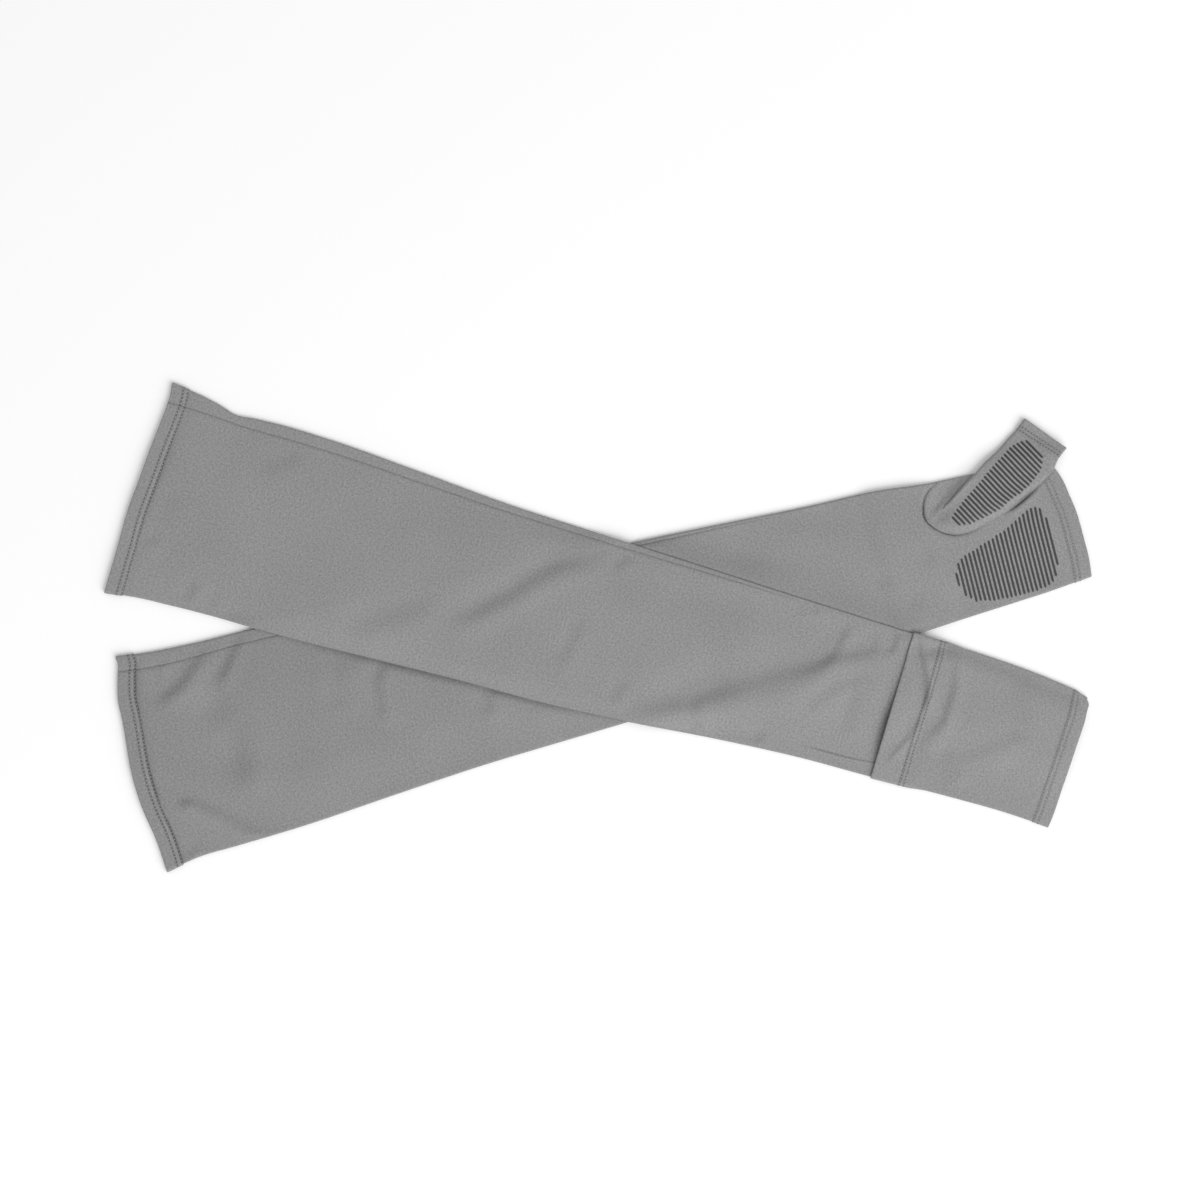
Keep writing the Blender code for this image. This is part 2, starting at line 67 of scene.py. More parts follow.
wrist = {
    "slitAt": 485.0,        # edge of the back-of-hand piece
    "backEnd": 505.0,       # where the arm's back layer ends under it
    "climb": (470.0, 482.0),
    "fall": (507.0, 521.0),
    "hemDepth": 21.0,
    "hemRows": (17.6, 20.5),
    "foldEnd": math.radians(101),   # how far round a side fold the back-of-hand piece goes
    # how far the loose edge stands off, and around which place across
    "flapLift": 2.3, "flapLiftAt": -11.0, "flapLiftWidth": 22.0,
    "outerSeamInset": [(0, 8.0), (440, 8.1), (466, 8.1), (486, 9.3), (505, 9.6)],   # from the outer fold
    "outerSeamShown": (432, 452),   # along, where it begins to show on the arm's back
    "liftLength": 17.0, "dipLength": 14.0,  # along, on either side of the loose edge
    "dip": 0.45, "airLost": 0.4, "seamLost": 0.6,   # shares, towards the hand piece
    # painted shade in the slit: how dark at its deepest, the soft painted shadow in front of it, across
    # where, how wide and how long
    "slitPaintedShade": 0.9, "slitShade": 0.5, "slitShadeAt": -8.0, "slitShadeWidth": 23.0, "slitShadeLength": 7.5,
    "straightEdge": (-38, 35),      # across, between the rounded corners of the finger end
}
leftSleeve = {
    "name": "left", "start": (-282.4, -85.6), "turn": 14.69, "palmUp": True, "seed": 5,
    "overTube": 0.2, "wristTuck": 0.8,  # the hand piece's sides stand out or tuck under at the wrist
    # along, how far the layers stand apart in the middle of the tube
    "puff": [
        (0, 0.2), (12, 0.5), (45, 1.9), (250, 2.4), (430, 2.2), (490, 1.6), (530, 1.1), (590, 0.5),
        (600, 0.1),
    ],
    # along, thumb edge, outer edge
    "outline": [
        (0, 69.5, 68.0), (20, 67.2, 64.3), (45, 65.7, 63.5), (85, 65.0, 62.1), (145, 63.4, 57.8),
        (205, 61.2, 53.8), (260, 59.4, 51.9), (320, 57.5, 50.0), (385, 54.1, 47.6), (440, 51.0, 45.4),
        (485, 49.4, 43.5), (518, 45.7, 41.5), (547, 44.5, 40.0), (575, 42.6, 38.4), (600, 38.5, 36.0),
    ],
    # across, how far the end edge stands out along
    "wideEdge": [
        (-69, -2.2), (-46, -3.9), (-26, -7.1), (0, -7.9), (17, -6.4), (31, -5.2), (42, -4.8),
        (51, -2.9), (59, -0.6), (64, 1.0), (69, 0.5),
    ],
    "handEdge": [
        (-36, 0.3), (-25, 1.5), (-11, 1.6), (-2, 1.6), (6, 1.2), (12, 0.4), (17, -0.4), (23, -1.2),
        (34, -4.6), (39, -7.4),
    ],
    # along, how far the lengthwise seam lies in from the thumb edge
    "seamInset": [(0, 9.6), (36, 9.0), (68, 7.6), (100, 7.5), (200, 5.2), (330, 3.0), (450, 1.6), (600, 1.4)],
    # line where the crease shades darkest, height, width away from the light and towards it
    "creases": [
        ([(55, 66), (49, 56), (42, 47), (36, 42), (29, 38.6), (24, 28)], -1.5, 7, 5.5),
        ([(25, 62), (25.5, 53), (25.6, 42)], -1.0, 4, 3.5),
        ([(38, 58), (38.5, 54), (40, 49)], -0.6, 4, 3),
        ([(80, 68), (75, 58), (69, 49), (64, 42), (58, 33)], -1.0, 5, 3.5),
        ([(46, 34), (54, 24), (59.5, 11.8), (63.8, 0.5), (64.5, -12), (66.5, -36)], -2.0, 11, 8),
        ([(12, -4), (19, -18), (26, -27.6), (33.5, -34), (40.5, -40), (49, -48.7), (62, -61), (74, -71)],
         -1.7, 7, 4.5),
        ([(22, -26), (25, -29), (26, -33)], -0.5, 5, 4),
        ([(15, -57), (22, -63)], -0.5, 4, 4),
        ([(162, 30), (158, 20), (154, 12), (152.8, -2), (154, -16)], -0.9, 5.5, 4),
        ([(138, 38), (130, 17), (128, -4)], -0.4, 8, 6),
        ([(221, -4), (219, -14), (217, -28)], -0.7, 6, 5),
        ([(206, 26), (212, 4), (216, -24)], -0.25, 9, 7),
        ([(250, 6), (245, -18), (247, -40)], -0.35, 9, 7),
        ([(120, 40), (112, 14), (118, -8)], -0.2, 10, 8),
        ([(372, 36), (410, 22), (440, 8), (466, -8)], -0.35, 10, 8),
        ([(470, 2), (478, -10), (487, -22), (498, -34)], -0.6, 6, 5),
        ([(500, 8), (513, -4), (520, -22)], -0.4, 8, 7),
        ([(405, 44), (440, 40), (470, 26)], -0.2, 9, 7),
        ([(511, 24), (518, 29.5), (527, 36), (537, 42), (548, 50)], -1.1, 5, 2.6),
    ],
}
rightSleeve = {
    "name": "right", "start": (-282.4, 85.0), "turn": -16.44, "palmUp": False, "seed": 11,
    "overTube": 0.95, "wristTuck": 0.0,
    "puff": [
        (0, 0.2), (12, 0.5), (45, 1.9), (250, 2.6), (430, 2.6), (480, 1.9), (520, 1.4), (588, 0.7),
        (600, 0.1),
    ],
    "outline": [
        (0, 69.6, 67.5), (24, 66.3, 64.5), (34, 63.9, 64.0), (40.5, 61.9, 63.7), (43.5, 61.6, 63.5),
        (50, 62.4, 63.2), (66, 63.5, 62.7),
        (105, 63.4, 62.4), (160, 60.3, 60.2), (220, 56.4, 57.6), (280, 54.9, 56.0), (330, 53.8, 52.5),
        (390, 52.3, 46.9), (440, 51.3, 43.6), (485, 50.5, 42.6), (535, 50.1, 40.7), (575, 47.4, 40.3),
        (592, 45.0, 41.0), (600, 42.9, 41.5),
    ],
    "wideEdge": [
        (-68, -5.2), (-40, -5.2), (-11, -5.5), (5, -4.3), (25, -3.1), (42, -1.7), (53, -0.8), (62, -0.5),
        (70, -1.7),
    ],
    "handEdge": [(-42, -1.2), (-36, -0.5), (-14, 0.4), (10, 1.0), (35, 1.5), (40, 1.1), (43, -1.6)],
    "seamInset": [
        (0, 12.3), (9, 11.2), (20, 9.8), (28, 8.4), (34, 7.2), (41.5, 5.4), (45, 5.7), (49, 6.3),
        (58, 7.1), (85, 7.5), (114, 7.2), (160, 6.4), (232, 4.5),
        (286, 4.2), (330, 3.4), (385, 2.2), (480, 1.5), (600, 1.4),
    ],
    "creases": [
        ([(196, -31), (209, -23), (220, -14.4), (228, -6.6), (237, 1.2), (246, 12.6), (254.4, 21.4),
          (263, 29), (278, 35), (292, 50)], -1.15, 10, 6.5),
        ([(140, -48), (159, -40), (173, -30), (184, -23), (200, -10)], -0.7, 13, 9),
        ([(294, 34), (298, 40), (303, 47)], -0.5, 4, 3.5),
        ([(286, 6), (283.5, -8.5), (281, -22), (279, -36)], -0.4, 6, 5),
        ([(322, -26), (319, -37), (316, -46)], -0.45, 5, 4),
        ([(330, -46), (340, -40.6), (351, -34.3), (364, -28.5), (378, -21), (390.5, -13.3), (404.7, -5),
          (416.6, 3.7), (431, 12), (446, 22), (460, 29)], -1.35, 17, 10.5),
        ([(318, -50), (340, -41), (364, -29), (384, -18), (400, -8)], -0.8, 12, 8),
        ([(414, 2), (431, 12), (437.3, 18.1), (446, 23.8), (458.8, 29.7), (477.4, 37.2), (486, 41)],
         -0.9, 8, 6),
        ([(434, 12), (438, 22), (441.3, 32.8), (444.5, 48)], -0.95, 5.5, 4.5),
        ([(462, 46), (462.5, 40), (462, 30)], -0.75, 3.5, 3),
        ([(473, 49), (474.5, 43), (476, 33)], -0.75, 3.5, 3),
        ([(408, 44), (418, 46), (428, 46)], -0.4, 5, 4),
        ([(470, 20), (459, 11), (449, 6), (439, -7.4), (433, -22)], -0.45, 7, 5),
        ([(463, 12), (461, -7), (463.5, -26)], -0.4, 6, 5),
        ([(363, -27), (369, -37), (376, -48)], -0.5, 5, 4.5),
        ([(408, -34), (415, -43)], -0.45, 5, 4),
        ([(66, 30), (78, 40), (92, 50)], -0.35, 8, 6),
        ([(48, -44), (50, -52), (47, -60)], -0.6, 4, 3.5),
        ([(60, -46), (64, -53), (62, -60)], -0.3, 4, 4),
        ([(10, -34), (18, -29), (26, -26)], -0.35, 5, 4),
        ([(24, 6), (22, -8), (26, -20)], -0.2, 8, 6),
        ([(120, 30), (150, 20), (175, 24)], -0.16, 12, 9),
        ([(330, 30), (350, 14), (352, -6)], -0.15, 10, 8),
    ],
    "flapCreases": [
        ([(481, 54), (487.3, 47.4), (492.8, 37.7), (499.3, 25), (503.4, 13.8), (503, 2)], -1.5, 4.5, 3),
        ([(502, 8), (502, -1), (499.7, -10), (493, -22.6), (491, -34)], -0.8, 4, 3),
        ([(508, 54), (512, 44), (517, 26), (517, 4), (511, -8), (509, -20)], -0.9, 5, 4),
        ([(522, -10), (529, -21), (540, -32)], -0.5, 7, 5),
        ([(518, -26), (540, -12), (556, 0), (578, 20)], -0.35, 9, 6),
        ([(560, -14), (578, -18), (592, -28)], -0.3, 8, 6),
        ([(548, 38), (560, 30), (568, 12)], -0.22, 9, 7),
    ],
}
rollAlongEdge = {           # the right arm stands up in a long roll beside its outer fold
    "line": [(70, -50), (120, -50), (200, -47.5), (300, -43), (380, -37)],
    "height": 1.7, "widthInside": 17.0, "widthOutside": 8.0, "rise": 60, "fall": 70,
}
# the inner rows also carry painted shade: shade and shadeWidth below
innerRow = {                # the wide hems are drawn in hard along parts of their inner rows
    "left": [(-68, 0.8), (-44, 0.7), (-33, 0.4), (-27, 0.1), (-21, 0.8), (0, 0.8), (30, 0.55), (44, 1.2),
             (58, 1.1), (63, 0.3)],
    "right": [(-67, 0.1), (-45, 0.2), (-20, 0.45), (0, 0.8), (25, 0.8), (40, 0.45), (55, 0.2), (69, 0.1)],
    "past": 0.5, "depth": 0.5, "width": 1.2, "shade": 0.5, "shadeWidth": 0.6,
}
# the left sleeve's wide end lies in the right one's shade
wideShade = {"most": 0.08, "end": (150.0, 330.0)}
light = {"direction": (0.62, -0.78)}    # on the table, where the key light stands
waves = {"count": 16, "length": (22, 80), "height": 0.0008}     # height is a share of the length
creaseForm = {
    # beside each line: height, shift away from the light in widths, wider by
    "trough": (1.0, 0.7, 1.0), "ridge": (-0.8, -0.8, 1.3),
    "fadeIn": 0.3, "fadeOut": 0.7,      # shares of the line over which it comes and goes
    "sideBlend": 0.6,
}
# markWidth is the width of the painted shade in each needle row
needleRow = {"depth": (0.1, 0.12), "width": 0.5, "markWidth": 0.48, "swell": 0.1, "swellWidth": 0.9}
hemValley = {"depth": 0.75, "reach": 8.0}       # the dip inside a hem, as a share of its thickness
seamForm = {                # shown: from which inset on; shade is the painted shade in the seam's groove, outerShade that of the arm's outer seam
    "shown": (1.5, 2.6), "ridge": 0.2, "groove": 0.3, "far": 0.08, "shade": 0.5, "shadeWidth": 0.4,
    "outerHeight": 0.35, "outerShade": 0.4, "outerShadeWidth": 0.5,
}


def smoothStep(low, high, at):
    t = np.clip((np.asarray(at, float) - low) / (high - low), 0.0, 1.0)
    return t * t * (3 - 2 * t)


def bell(offset, width):
    return np.exp(-((offset / width) ** 2))


def unit(vectors):
    return vectors / np.maximum(np.linalg.norm(vectors, axis=1), 1e-12)[:, None]


def runOf(line):
    # distance gone at each point of a line
    return np.concatenate([[0.0], np.cumsum(np.hypot(*np.diff(line, axis=0).T))])


def through(rows, at):
    # smooth values through a table whose first column says where each row holds
    table = np.array(rows, float)
    places, values = table[:, 0], table[:, 1:]
    slopes = np.gradient(values, places, axis=0)
    at = np.clip(np.asarray(at, float), places[0], places[-1])
    k = np.clip(np.searchsorted(places, at) - 1, 0, len(places) - 2)
    span = (places[k + 1] - places[k])[..., None]
    t = (at - places[k])[..., None] / span
    return ((2 * t**3 - 3 * t**2 + 1) * values[k] + (t**3 - 2 * t**2 + t) * span * slopes[k]
            + (3 * t**2 - 2 * t**3) * values[k + 1] + (t**3 - t**2) * span * slopes[k + 1])


def valueAt(rows, at):
    return through(rows, at)[..., 0]


def smoothLine(points, spacing):
    # evenly spaced points on a smooth curve through the given ones
    line = np.array(points, float)
    reached = runOf(line)
    fine = through(np.column_stack([reached, line]), np.linspace(0.0, reached[-1], 2000))
    run = runOf(fine)
    at = np.linspace(0.0, run[-1], max(int(run[-1] / spacing) + 1, 2))
    return np.column_stack([np.interp(at, run, column) for column in fine.T])


def edgesOf(sleeve, along):
    both = through(sleeve["outline"], along)
    return both[..., 0], both[..., 1]


def turned(sleeve, x, y, sign):
    turn = sign * math.radians(sleeve["turn"])
    return x * math.cos(turn) - y * math.sin(turn), x * math.sin(turn) + y * math.cos(turn)


def planOf(sleeve, along, across):
    x, y = turned(sleeve, along, across, 1)
    return x + sleeve["start"][0], y + sleeve["start"][1]


def sleeveSpot(sleeve, x, y):
    return turned(sleeve, x - sleeve["start"][0], y - sleeve["start"][1], -1)


def outsideOf(sleeve, x, y):
    # how far a place of the plan lies outside a sleeve, less than 0 inside it
    along, across = sleeveSpot(sleeve, x, y)
    thumbEdge, outerEdge = edgesOf(sleeve, along)
    return np.maximum.reduce([across - thumbEdge, -across - outerEdge, -along, along - cloth["length"]])


def endShift(sleeve, along, across):
    # the uneven end edges, felt some way into the sleeve
    end = cloth["length"]
    wide = valueAt(sleeve["wideEdge"], across) * (1 - smoothStep(0, cloth["wideEdgeFelt"], along))
    straight = valueAt(sleeve["handEdge"], np.clip(across, *wrist["straightEdge"]))
    corner = valueAt(sleeve["handEdge"], across) - straight
    return (wide + straight * smoothStep(end - cloth["handEdgeFelt"], end, along)
            + corner * smoothStep(end - cloth["cornerFelt"], end, along))


def besideLine(line, a, c, toLight):
    # distance from a line of points, share of the way along it, and which side of it, by the light
    reached = runOf(line)
    nearest = np.full(np.shape(a), 1e9)
    share, facing = np.zeros(np.shape(a)), np.zeros(np.shape(a))
    for k, (start, end) in enumerate(zip(line[:-1], line[1:])):
        run = end - start
        length = math.hypot(*run)
        t = np.clip(((a - start[0]) * run[0] + (c - start[1]) * run[1]) / length**2, 0.0, 1.0)
        da, dc = a - start[0] - t * run[0], c - start[1] - t * run[1]
        gap = np.hypot(da, dc)
        closer = gap < nearest
        nearest = np.where(closer, gap, nearest)
        share = np.where(closer, (reached[k] + t * length) / reached[-1], share)
        facing = np.where(closer, (da * toLight[0] + dc * toLight[1]) / np.maximum(gap, 1e-6), facing)
    return nearest, share, facing


def creaseHeight(sleeve, creases, along, across):
    # each crease is a trough with a lower ridge beside it, towards the light; the flank between
    # them turns from the light and shades darkest, along the given line
    toLight = turned(sleeve, *light["direction"], -1)
    total = np.zeros(np.shape(along))
    for points, height, awayWidth, towardsWidth in creases:
        line = np.array(points, float)
        widths = {"trough": (awayWidth, towardsWidth), "ridge": (towardsWidth, towardsWidth)}
        for part, (away, towards) in widths.items():
            share, shift, wider = creaseForm[part]
            a = along + shift * towardsWidth * toLight[0]
            c = across + shift * towardsWidth * toLight[1]
            nearest, reached, facing = besideLine(line, a, c, toLight)
            blend = smoothStep(-creaseForm["sideBlend"], creaseForm["sideBlend"], facing)
            width = away + (wider * towards - away) * blend
            fade = smoothStep(0.0, creaseForm["fadeIn"], reached)
            fade = fade * (1 - smoothStep(creaseForm["fadeOut"], 1.0, reached))
            total += share * height * fade * bell(nearest, width)
    return cloth["creaseDepth"] * total


def unevenness(sleeve, along, across):
    # cloth never lies dead flat: long shallow waves, a tenth of a millimetre or two
    random = np.random.default_rng(sleeve["seed"])
    total = np.zeros(np.shape(along))
    for _ in range(waves["count"]):
        wave = random.uniform(*waves["length"])
        heading = random.uniform(0, math.pi)
        phase = random.uniform(0, 6.28)
        run = along * math.cos(heading) + across * math.sin(heading)
        total += wave * np.sin(2 * math.pi * run / wave + phase)
    return total * waves["height"]


def hemRelief(fromEdge, depth, rows, extra, step=0.55):
    # how much thicker a turned hem is, and how its rows of stitches pull the outer face in
    thicker = extra * (1 - smoothStep(depth - step, depth + step, fromEdge))
    first, second = rows
    relief = needleRow["swell"] * bell(fromEdge - (first + second) / 2, needleRow["swellWidth"])
    for row, deep in zip(rows, needleRow["depth"]):
        relief -= deep * bell(fromEdge - row, needleRow["width"])
    valley = smoothStep(second - 0.3, second + 1, fromEdge)
    valley *= 1 - smoothStep(second + 1, second + hemValley["reach"], fromEdge)
    return thicker, relief - hemValley["depth"] * extra * valley


def paintedRowShade(fromEdge, rows):
    # the shade that gathers in the needle holes of a row of stitches
    return sum(bell(fromEdge - row, needleRow["markWidth"]) for row in rows)


def hemAt(along):
    # (thicker, pulled) from both ends of a sleeve
    depth, rows = cloth["hemDepth"], cloth["hemRows"]
    wide = hemRelief(along, depth, rows, cloth["hemExtra"])
    hand = hemRelief(cloth["length"] - along, depth, rows, cloth["handHemExtra"], cloth["handHemStep"])
    return wide[0] + hand[0], wide[1] + hand[1]


def flapHemAt(along):
    return hemRelief(along - wrist["slitAt"], wrist["hemDepth"], wrist["hemRows"], cloth["hemExtra"])


def innerRowAt(sleeve, along, across):
    # (how deep, how much painted shade) the inner row of the wide hem is on the side that shows
    strength = valueAt(innerRow[sleeve["name"]], across)
    beyond = along - cloth["hemRows"][1] - innerRow["past"]
    return (strength * innerRow["depth"] * bell(beyond, innerRow["width"]),
            strength * innerRow["shade"] * bell(beyond, innerRow["shadeWidth"]))


def outerSeamAt(along):
    return valueAt(wrist["outerSeamInset"], along) - edgesOf(rightSleeve, along)[1]


def beyondSeam(sleeve, along, across):
    # (how far past the lengthwise seam, how much of it shows)
    inset = valueAt(sleeve["seamInset"], along)
    return across - (edgesOf(sleeve, along)[0] - inset), smoothStep(*seamForm["shown"], inset)


def seamRelief(sleeve, along, across):
    # the lengthwise seam: a fine groove, and beside it the low ridge of the cloth turned in behind
    beyond, shown = beyondSeam(sleeve, along, across)
    return shown * (seamForm["ridge"] * bell(beyond + 1.3, 0.8) - seamForm["groove"] * bell(beyond, 0.45)
                    + seamForm["far"] * bell(beyond - 1.2, 0.8))


def ridgeAlong(ridge, along, across):
    beside = across - valueAt(ridge["line"], along)
    first, last = ridge["line"][0][0], ridge["line"][-1][0]
    width = np.where(beside > 0, ridge["widthInside"], ridge["widthOutside"])
    fade = smoothStep(first, first + ridge["rise"], along)
    fade = fade * (1 - smoothStep(last - ridge["fall"], last, along))
    return ridge["height"] * fade * bell(beside, width)


print("sleeve sizes ready")

thumbSeam = {
    # the U-shaped seam that sets the thumb into the palm: along, across
    "line": [
        (528, 66), (524, 52), (522.5, 45), (517, 42), (512.2, 37), (509.7, 31.2), (509, 26.2),
        (510.5, 22), (513.9, 17.6), (519.5, 12.9), (526.1, 10.2), (533, 9.7), (542, 11.2),
        (554, 14.4), (563, 17), (570, 20), (579, 24.3), (587, 28.7), (592.2, 31.8), (597, 36.5), (612, 52),
    ],
    # how strongly it is drawn in, from the wrist end of the seam to the finger end
    "strength": [
        (0, 0.3), (0.12, 0.5), (0.2, 1.0), (0.28, 1.5), (0.36, 1.3), (0.46, 0.6), (0.62, 0.4), (0.66, 1.6),
        (0.74, 1.6), (0.79, 0.5), (0.9, 0.4), (1, 0.5),
    ],
    # shade is the painted shade in the seam's groove
    "groove": 0.75, "grooveWidth": 0.75, "ridge": 0.22, "ridgeAt": 2.4, "ridgeWidth": 1.6, "shade": 0.8,
}
hiddenThumb = {             # the right thumb, folded under its palm: middle line and half width
    "line": [(515, 25), (524, 23), (534, 22), (545, 21), (556, 19), (568, 17), (583, 14.5)],
    "lift": 3.3, "halfWidth": 14.5, "fall": 12.0, "topFall": 30.0,
}
drape = {
    "bottomFall": (1.2, 15.0),   # beyond the left sleeve, the right one's lower layer comes down here
    "topFall": (-4.0, 62.0),     # and the layer that shows much more slowly
    "leftSpan": (60, 500), "leftInset": 2,      # the part of the left sleeve that carries the right one
    "topBlend": 16.0,            # across, from the folds in
    # the raised grip print keeps the right palm this far off the table, from here along
    "gripLift": 0.3, "gripFrom": (480, 515),
    "pressed": 0.4,              # puff that is left in the left sleeve under the right one
    "aboveEdge": (-20.0, 0.5),   # where it swells up again towards the right one's upper edge
    "belowEdge": (0.3, 3.2),     # and beyond its lower edge, where it bulges close up against it
    "swell": 1.7, "swellRise": (-0.7, 1.0), "swellFall": (2.0, 18.0), "swellOnTube": (0.6, 7.0),
    # painted shadow on the left sleeve beside the right one's upper edge: how dark and how wide
    "swellShade": 0.16, "swellShadeWidth": 9.0,
    # air pressed out of the fold that lies there, over this width, and within this of the left one's edge
    "flatFold": 0.46, "flatFoldWidth": 5.0, "flatFoldEdge": 3.0,
}
thumbSeamLine = smoothLine(thumbSeam["line"], 0.8)


def fromThumbSeam(along, across):
    # distance from the thumb's seam, and how strongly the seam is drawn in at its nearest point
    flat = np.column_stack([np.ravel(along), np.ravel(across)])
    nearest, share = np.full(len(flat), 1e9), np.zeros(len(flat))
    near = np.nonzero((flat[:, 0] > 500) & (flat[:, 1] > 0))[0]
    for start in range(0, len(near), 4000):
        chosen = near[start:start + 4000]
        gaps = ((flat[chosen, None, :] - thumbSeamLine[None, :, :]) ** 2).sum(axis=2)
        nearest[chosen] = np.sqrt(gaps.min(axis=1))
        share[chosen] = gaps.argmin(axis=1) / (len(thumbSeamLine) - 1)
    return nearest.reshape(np.shape(along)), valueAt(thumbSeam["strength"], share).reshape(np.shape(along))


def thumbSeamRelief(along, across):
    gap, strength = fromThumbSeam(along, across)
    ridge = thumbSeam["ridge"] * bell(gap - thumbSeam["ridgeAt"], thumbSeam["ridgeWidth"])
    return strength * (ridge - thumbSeam["groove"] * bell(gap, thumbSeam["grooveWidth"]))


def insidePolygon(polygon, along, across):
    inside = np.zeros(np.shape(along), bool)
    for (a0, c0), (a1, c1) in zip(polygon, np.roll(polygon, -1, axis=0)):
        if c0 != c1:
            crosses = (c0 > across) != (c1 > across)
            inside ^= crosses & (along < (a1 - a0) * (across - c0) / (c1 - c0) + a0)
    return inside


def overHiddenThumb(along, across, fall):
    gap = np.full(np.shape(along), 1e9)
    for a, c in smoothLine(hiddenThumb["line"], 2.0):
        gap = np.minimum(gap, np.hypot(along - a, across - c))
    edge = hiddenThumb["halfWidth"]
    return hiddenThumb["lift"] * (1 - smoothStep(edge, edge + fall, gap))


def beyondRight(along, across):
    # how far a spot of the left sleeve lies past the right one's upper edge, and past its lower one
    rightAlong, rightAcross = sleeveSpot(rightSleeve, *planOf(leftSleeve, along, across))
    thumbEdge, outerEdge = edgesOf(rightSleeve, rightAlong)
    return rightAcross - thumbEdge, -rightAcross - outerEdge


def airBetween(gap):
    # the layers may come close but never touch
    least = cloth["leastAir"]
    return least + np.logaddexp(0, (gap - least) * 5) / 5


def swellBeyond(along, across):
    # the soft sleeve below swells up beside the upper edge of the one that presses on it
    beyond = beyondRight(along, across)[0]
    onTube = smoothStep(*drape["swellOnTube"], -outsideOf(leftSleeve, *planOf(leftSleeve, along, across)))
    rise = onTube * smoothStep(*drape["swellRise"], beyond)
    return drape["swell"] * rise * (1 - smoothStep(*drape["swellFall"], beyond))


def skins(sleeve, along, across, swell=True):
    # heights of the outer faces: palm layer, arm's back layer, back-of-hand piece
    t, air = cloth["thickness"], cloth["airInside"]
    thicker, pulled = hemAt(along)
    climb, fall = smoothStep(*wrist["climb"], along), smoothStep(*wrist["fall"], along)
    thumbEdge, outerEdge = edgesOf(sleeve, along)
    fromThumb, fromOuter = thumbEdge - across, across + outerEdge
    fromFold = np.minimum(fromThumb, fromOuter)
    rise = smoothStep(0.0, cloth["puffRise"][0], fromThumb) * smoothStep(0.0, cloth["puffRise"][1], fromOuter)
    puff = valueAt(sleeve["puff"], along) * rise
    puff = puff + unevenness(sleeve, along, across) * smoothStep(*cloth["wavesFromFold"], fromFold)
    inHem = smoothStep(cloth["hemDepth"], cloth["hemDepth"] + cloth["creaseFromHem"], along)
    atFold = smoothStep(0.0, cloth["creaseFromFold"], fromFold)
    shape = creaseHeight(sleeve, sleeve["creases"], along, across) * atFold * inHem
    innerDip = innerRowAt(sleeve, along, across)[0]
    if sleeve["palmUp"]:
        above, below = beyondRight(along, across)
        free = np.maximum(smoothStep(*drape["aboveEdge"], above), smoothStep(*drape["belowEdge"], below))
        armBack = (t + cloth["hemExtra"] + cloth["clear"]) * (climb - fall)
        gap = air + (puff + shape) * free + drape["pressed"] * (1 - free)
        palm = armBack + 2 * t + airBetween(gap) + 2 * thicker + pulled
        palm += seamRelief(sleeve, along, across) + thumbSeamRelief(along, across)
        palm -= innerDip
        if swell:
            palm += swellBeyond(along, across)
        return {"palm": palm, "armBack": armBack, "handBack": np.zeros(np.shape(along))}

    x, y = planOf(sleeve, along, across)
    beyond = outsideOf(leftSleeve, x, y)
    leftAlong, leftAcross = sleeveSpot(leftSleeve, x, y)
    leftThumbEdge, leftOuterEdge = edgesOf(leftSleeve, leftAlong)
    leftAcross = np.clip(leftAcross, drape["leftInset"] - leftOuterEdge, leftThumbEdge - drape["leftInset"])
    leftAlong = np.clip(leftAlong, *drape["leftSpan"])
    leftTop = skins(leftSleeve, leftAlong, leftAcross, swell=False)["palm"] + cloth["clear"]
    lift = drape["gripLift"] * smoothStep(*drape["gripFrom"], along)
    under, top = (
        np.hypot(leftTop * (1 - smoothStep(*drape[onLeft], beyond)),
                 overHiddenThumb(along, across, hiddenThumb[onThumb]) + lift)
        for onLeft, onThumb in (("bottomFall", "fall"), ("topFall", "topFall")))
    top = under + np.logaddexp(0, (top - under) * 3) / 3 * smoothStep(0.0, drape["topBlend"], fromFold)
    puff = puff + ridgeAlong(rollAlongEdge, along, across) * smoothStep(0.0, 6.0, fromOuter)

    slit, halfway = wrist["slitAt"], cloth["length"] / 2
    loose = wrist["flapLift"] * bell(across - wrist["flapLiftAt"], wrist["flapLiftWidth"])
    dip = loose * smoothStep(slit - wrist["dipLength"], slit - 1, along)
    loose = loose * (1 - smoothStep(slit, slit + wrist["liftLength"], along))
    pastOuter = across - outerSeamAt(along)
    seam = seamForm["outerHeight"] * (bell(pastOuter + 1.0, 0.7) - bell(pastOuter, 0.5))
    seam = seam * smoothStep(*wrist["outerSeamShown"], along) + seamRelief(sleeve, along, across)
    handShape = creaseHeight(sleeve, sleeve["flapCreases"], along, across) * atFold
    handShape *= smoothStep(slit - 1, slit + 3, along)

    pressed = drape["flatFold"] * smoothStep(0.0, drape["flatFoldEdge"], -beyond)
    pressed = pressed * (1 - smoothStep(0.0, drape["flatFoldWidth"], fromThumb))
    armAir = air + (puff + shape) * (1 - wrist["airLost"] * climb) - wrist["dip"] * dip
    armAir = armAir + handShape * (1 - fall)
    armBack = top + 2 * t + airBetween(armAir - pressed) + 2 * thicker + pulled * (along < halfway)
    armBack = armBack + seam * (1 - wrist["seamLost"] * climb) - innerDip
    onPalm = top + 2 * t + airBetween(air + puff + handShape)
    flapThicker, flapPulled = flapHemAt(along)
    handBack = (armBack + t + cloth["clear"]) * (1 - fall) + onPalm * fall
    handBack += 2 * thicker + flapThicker + flapPulled + loose + pulled * (along > halfway)
    return {"palm": under, "armBack": armBack, "handBack": handBack}


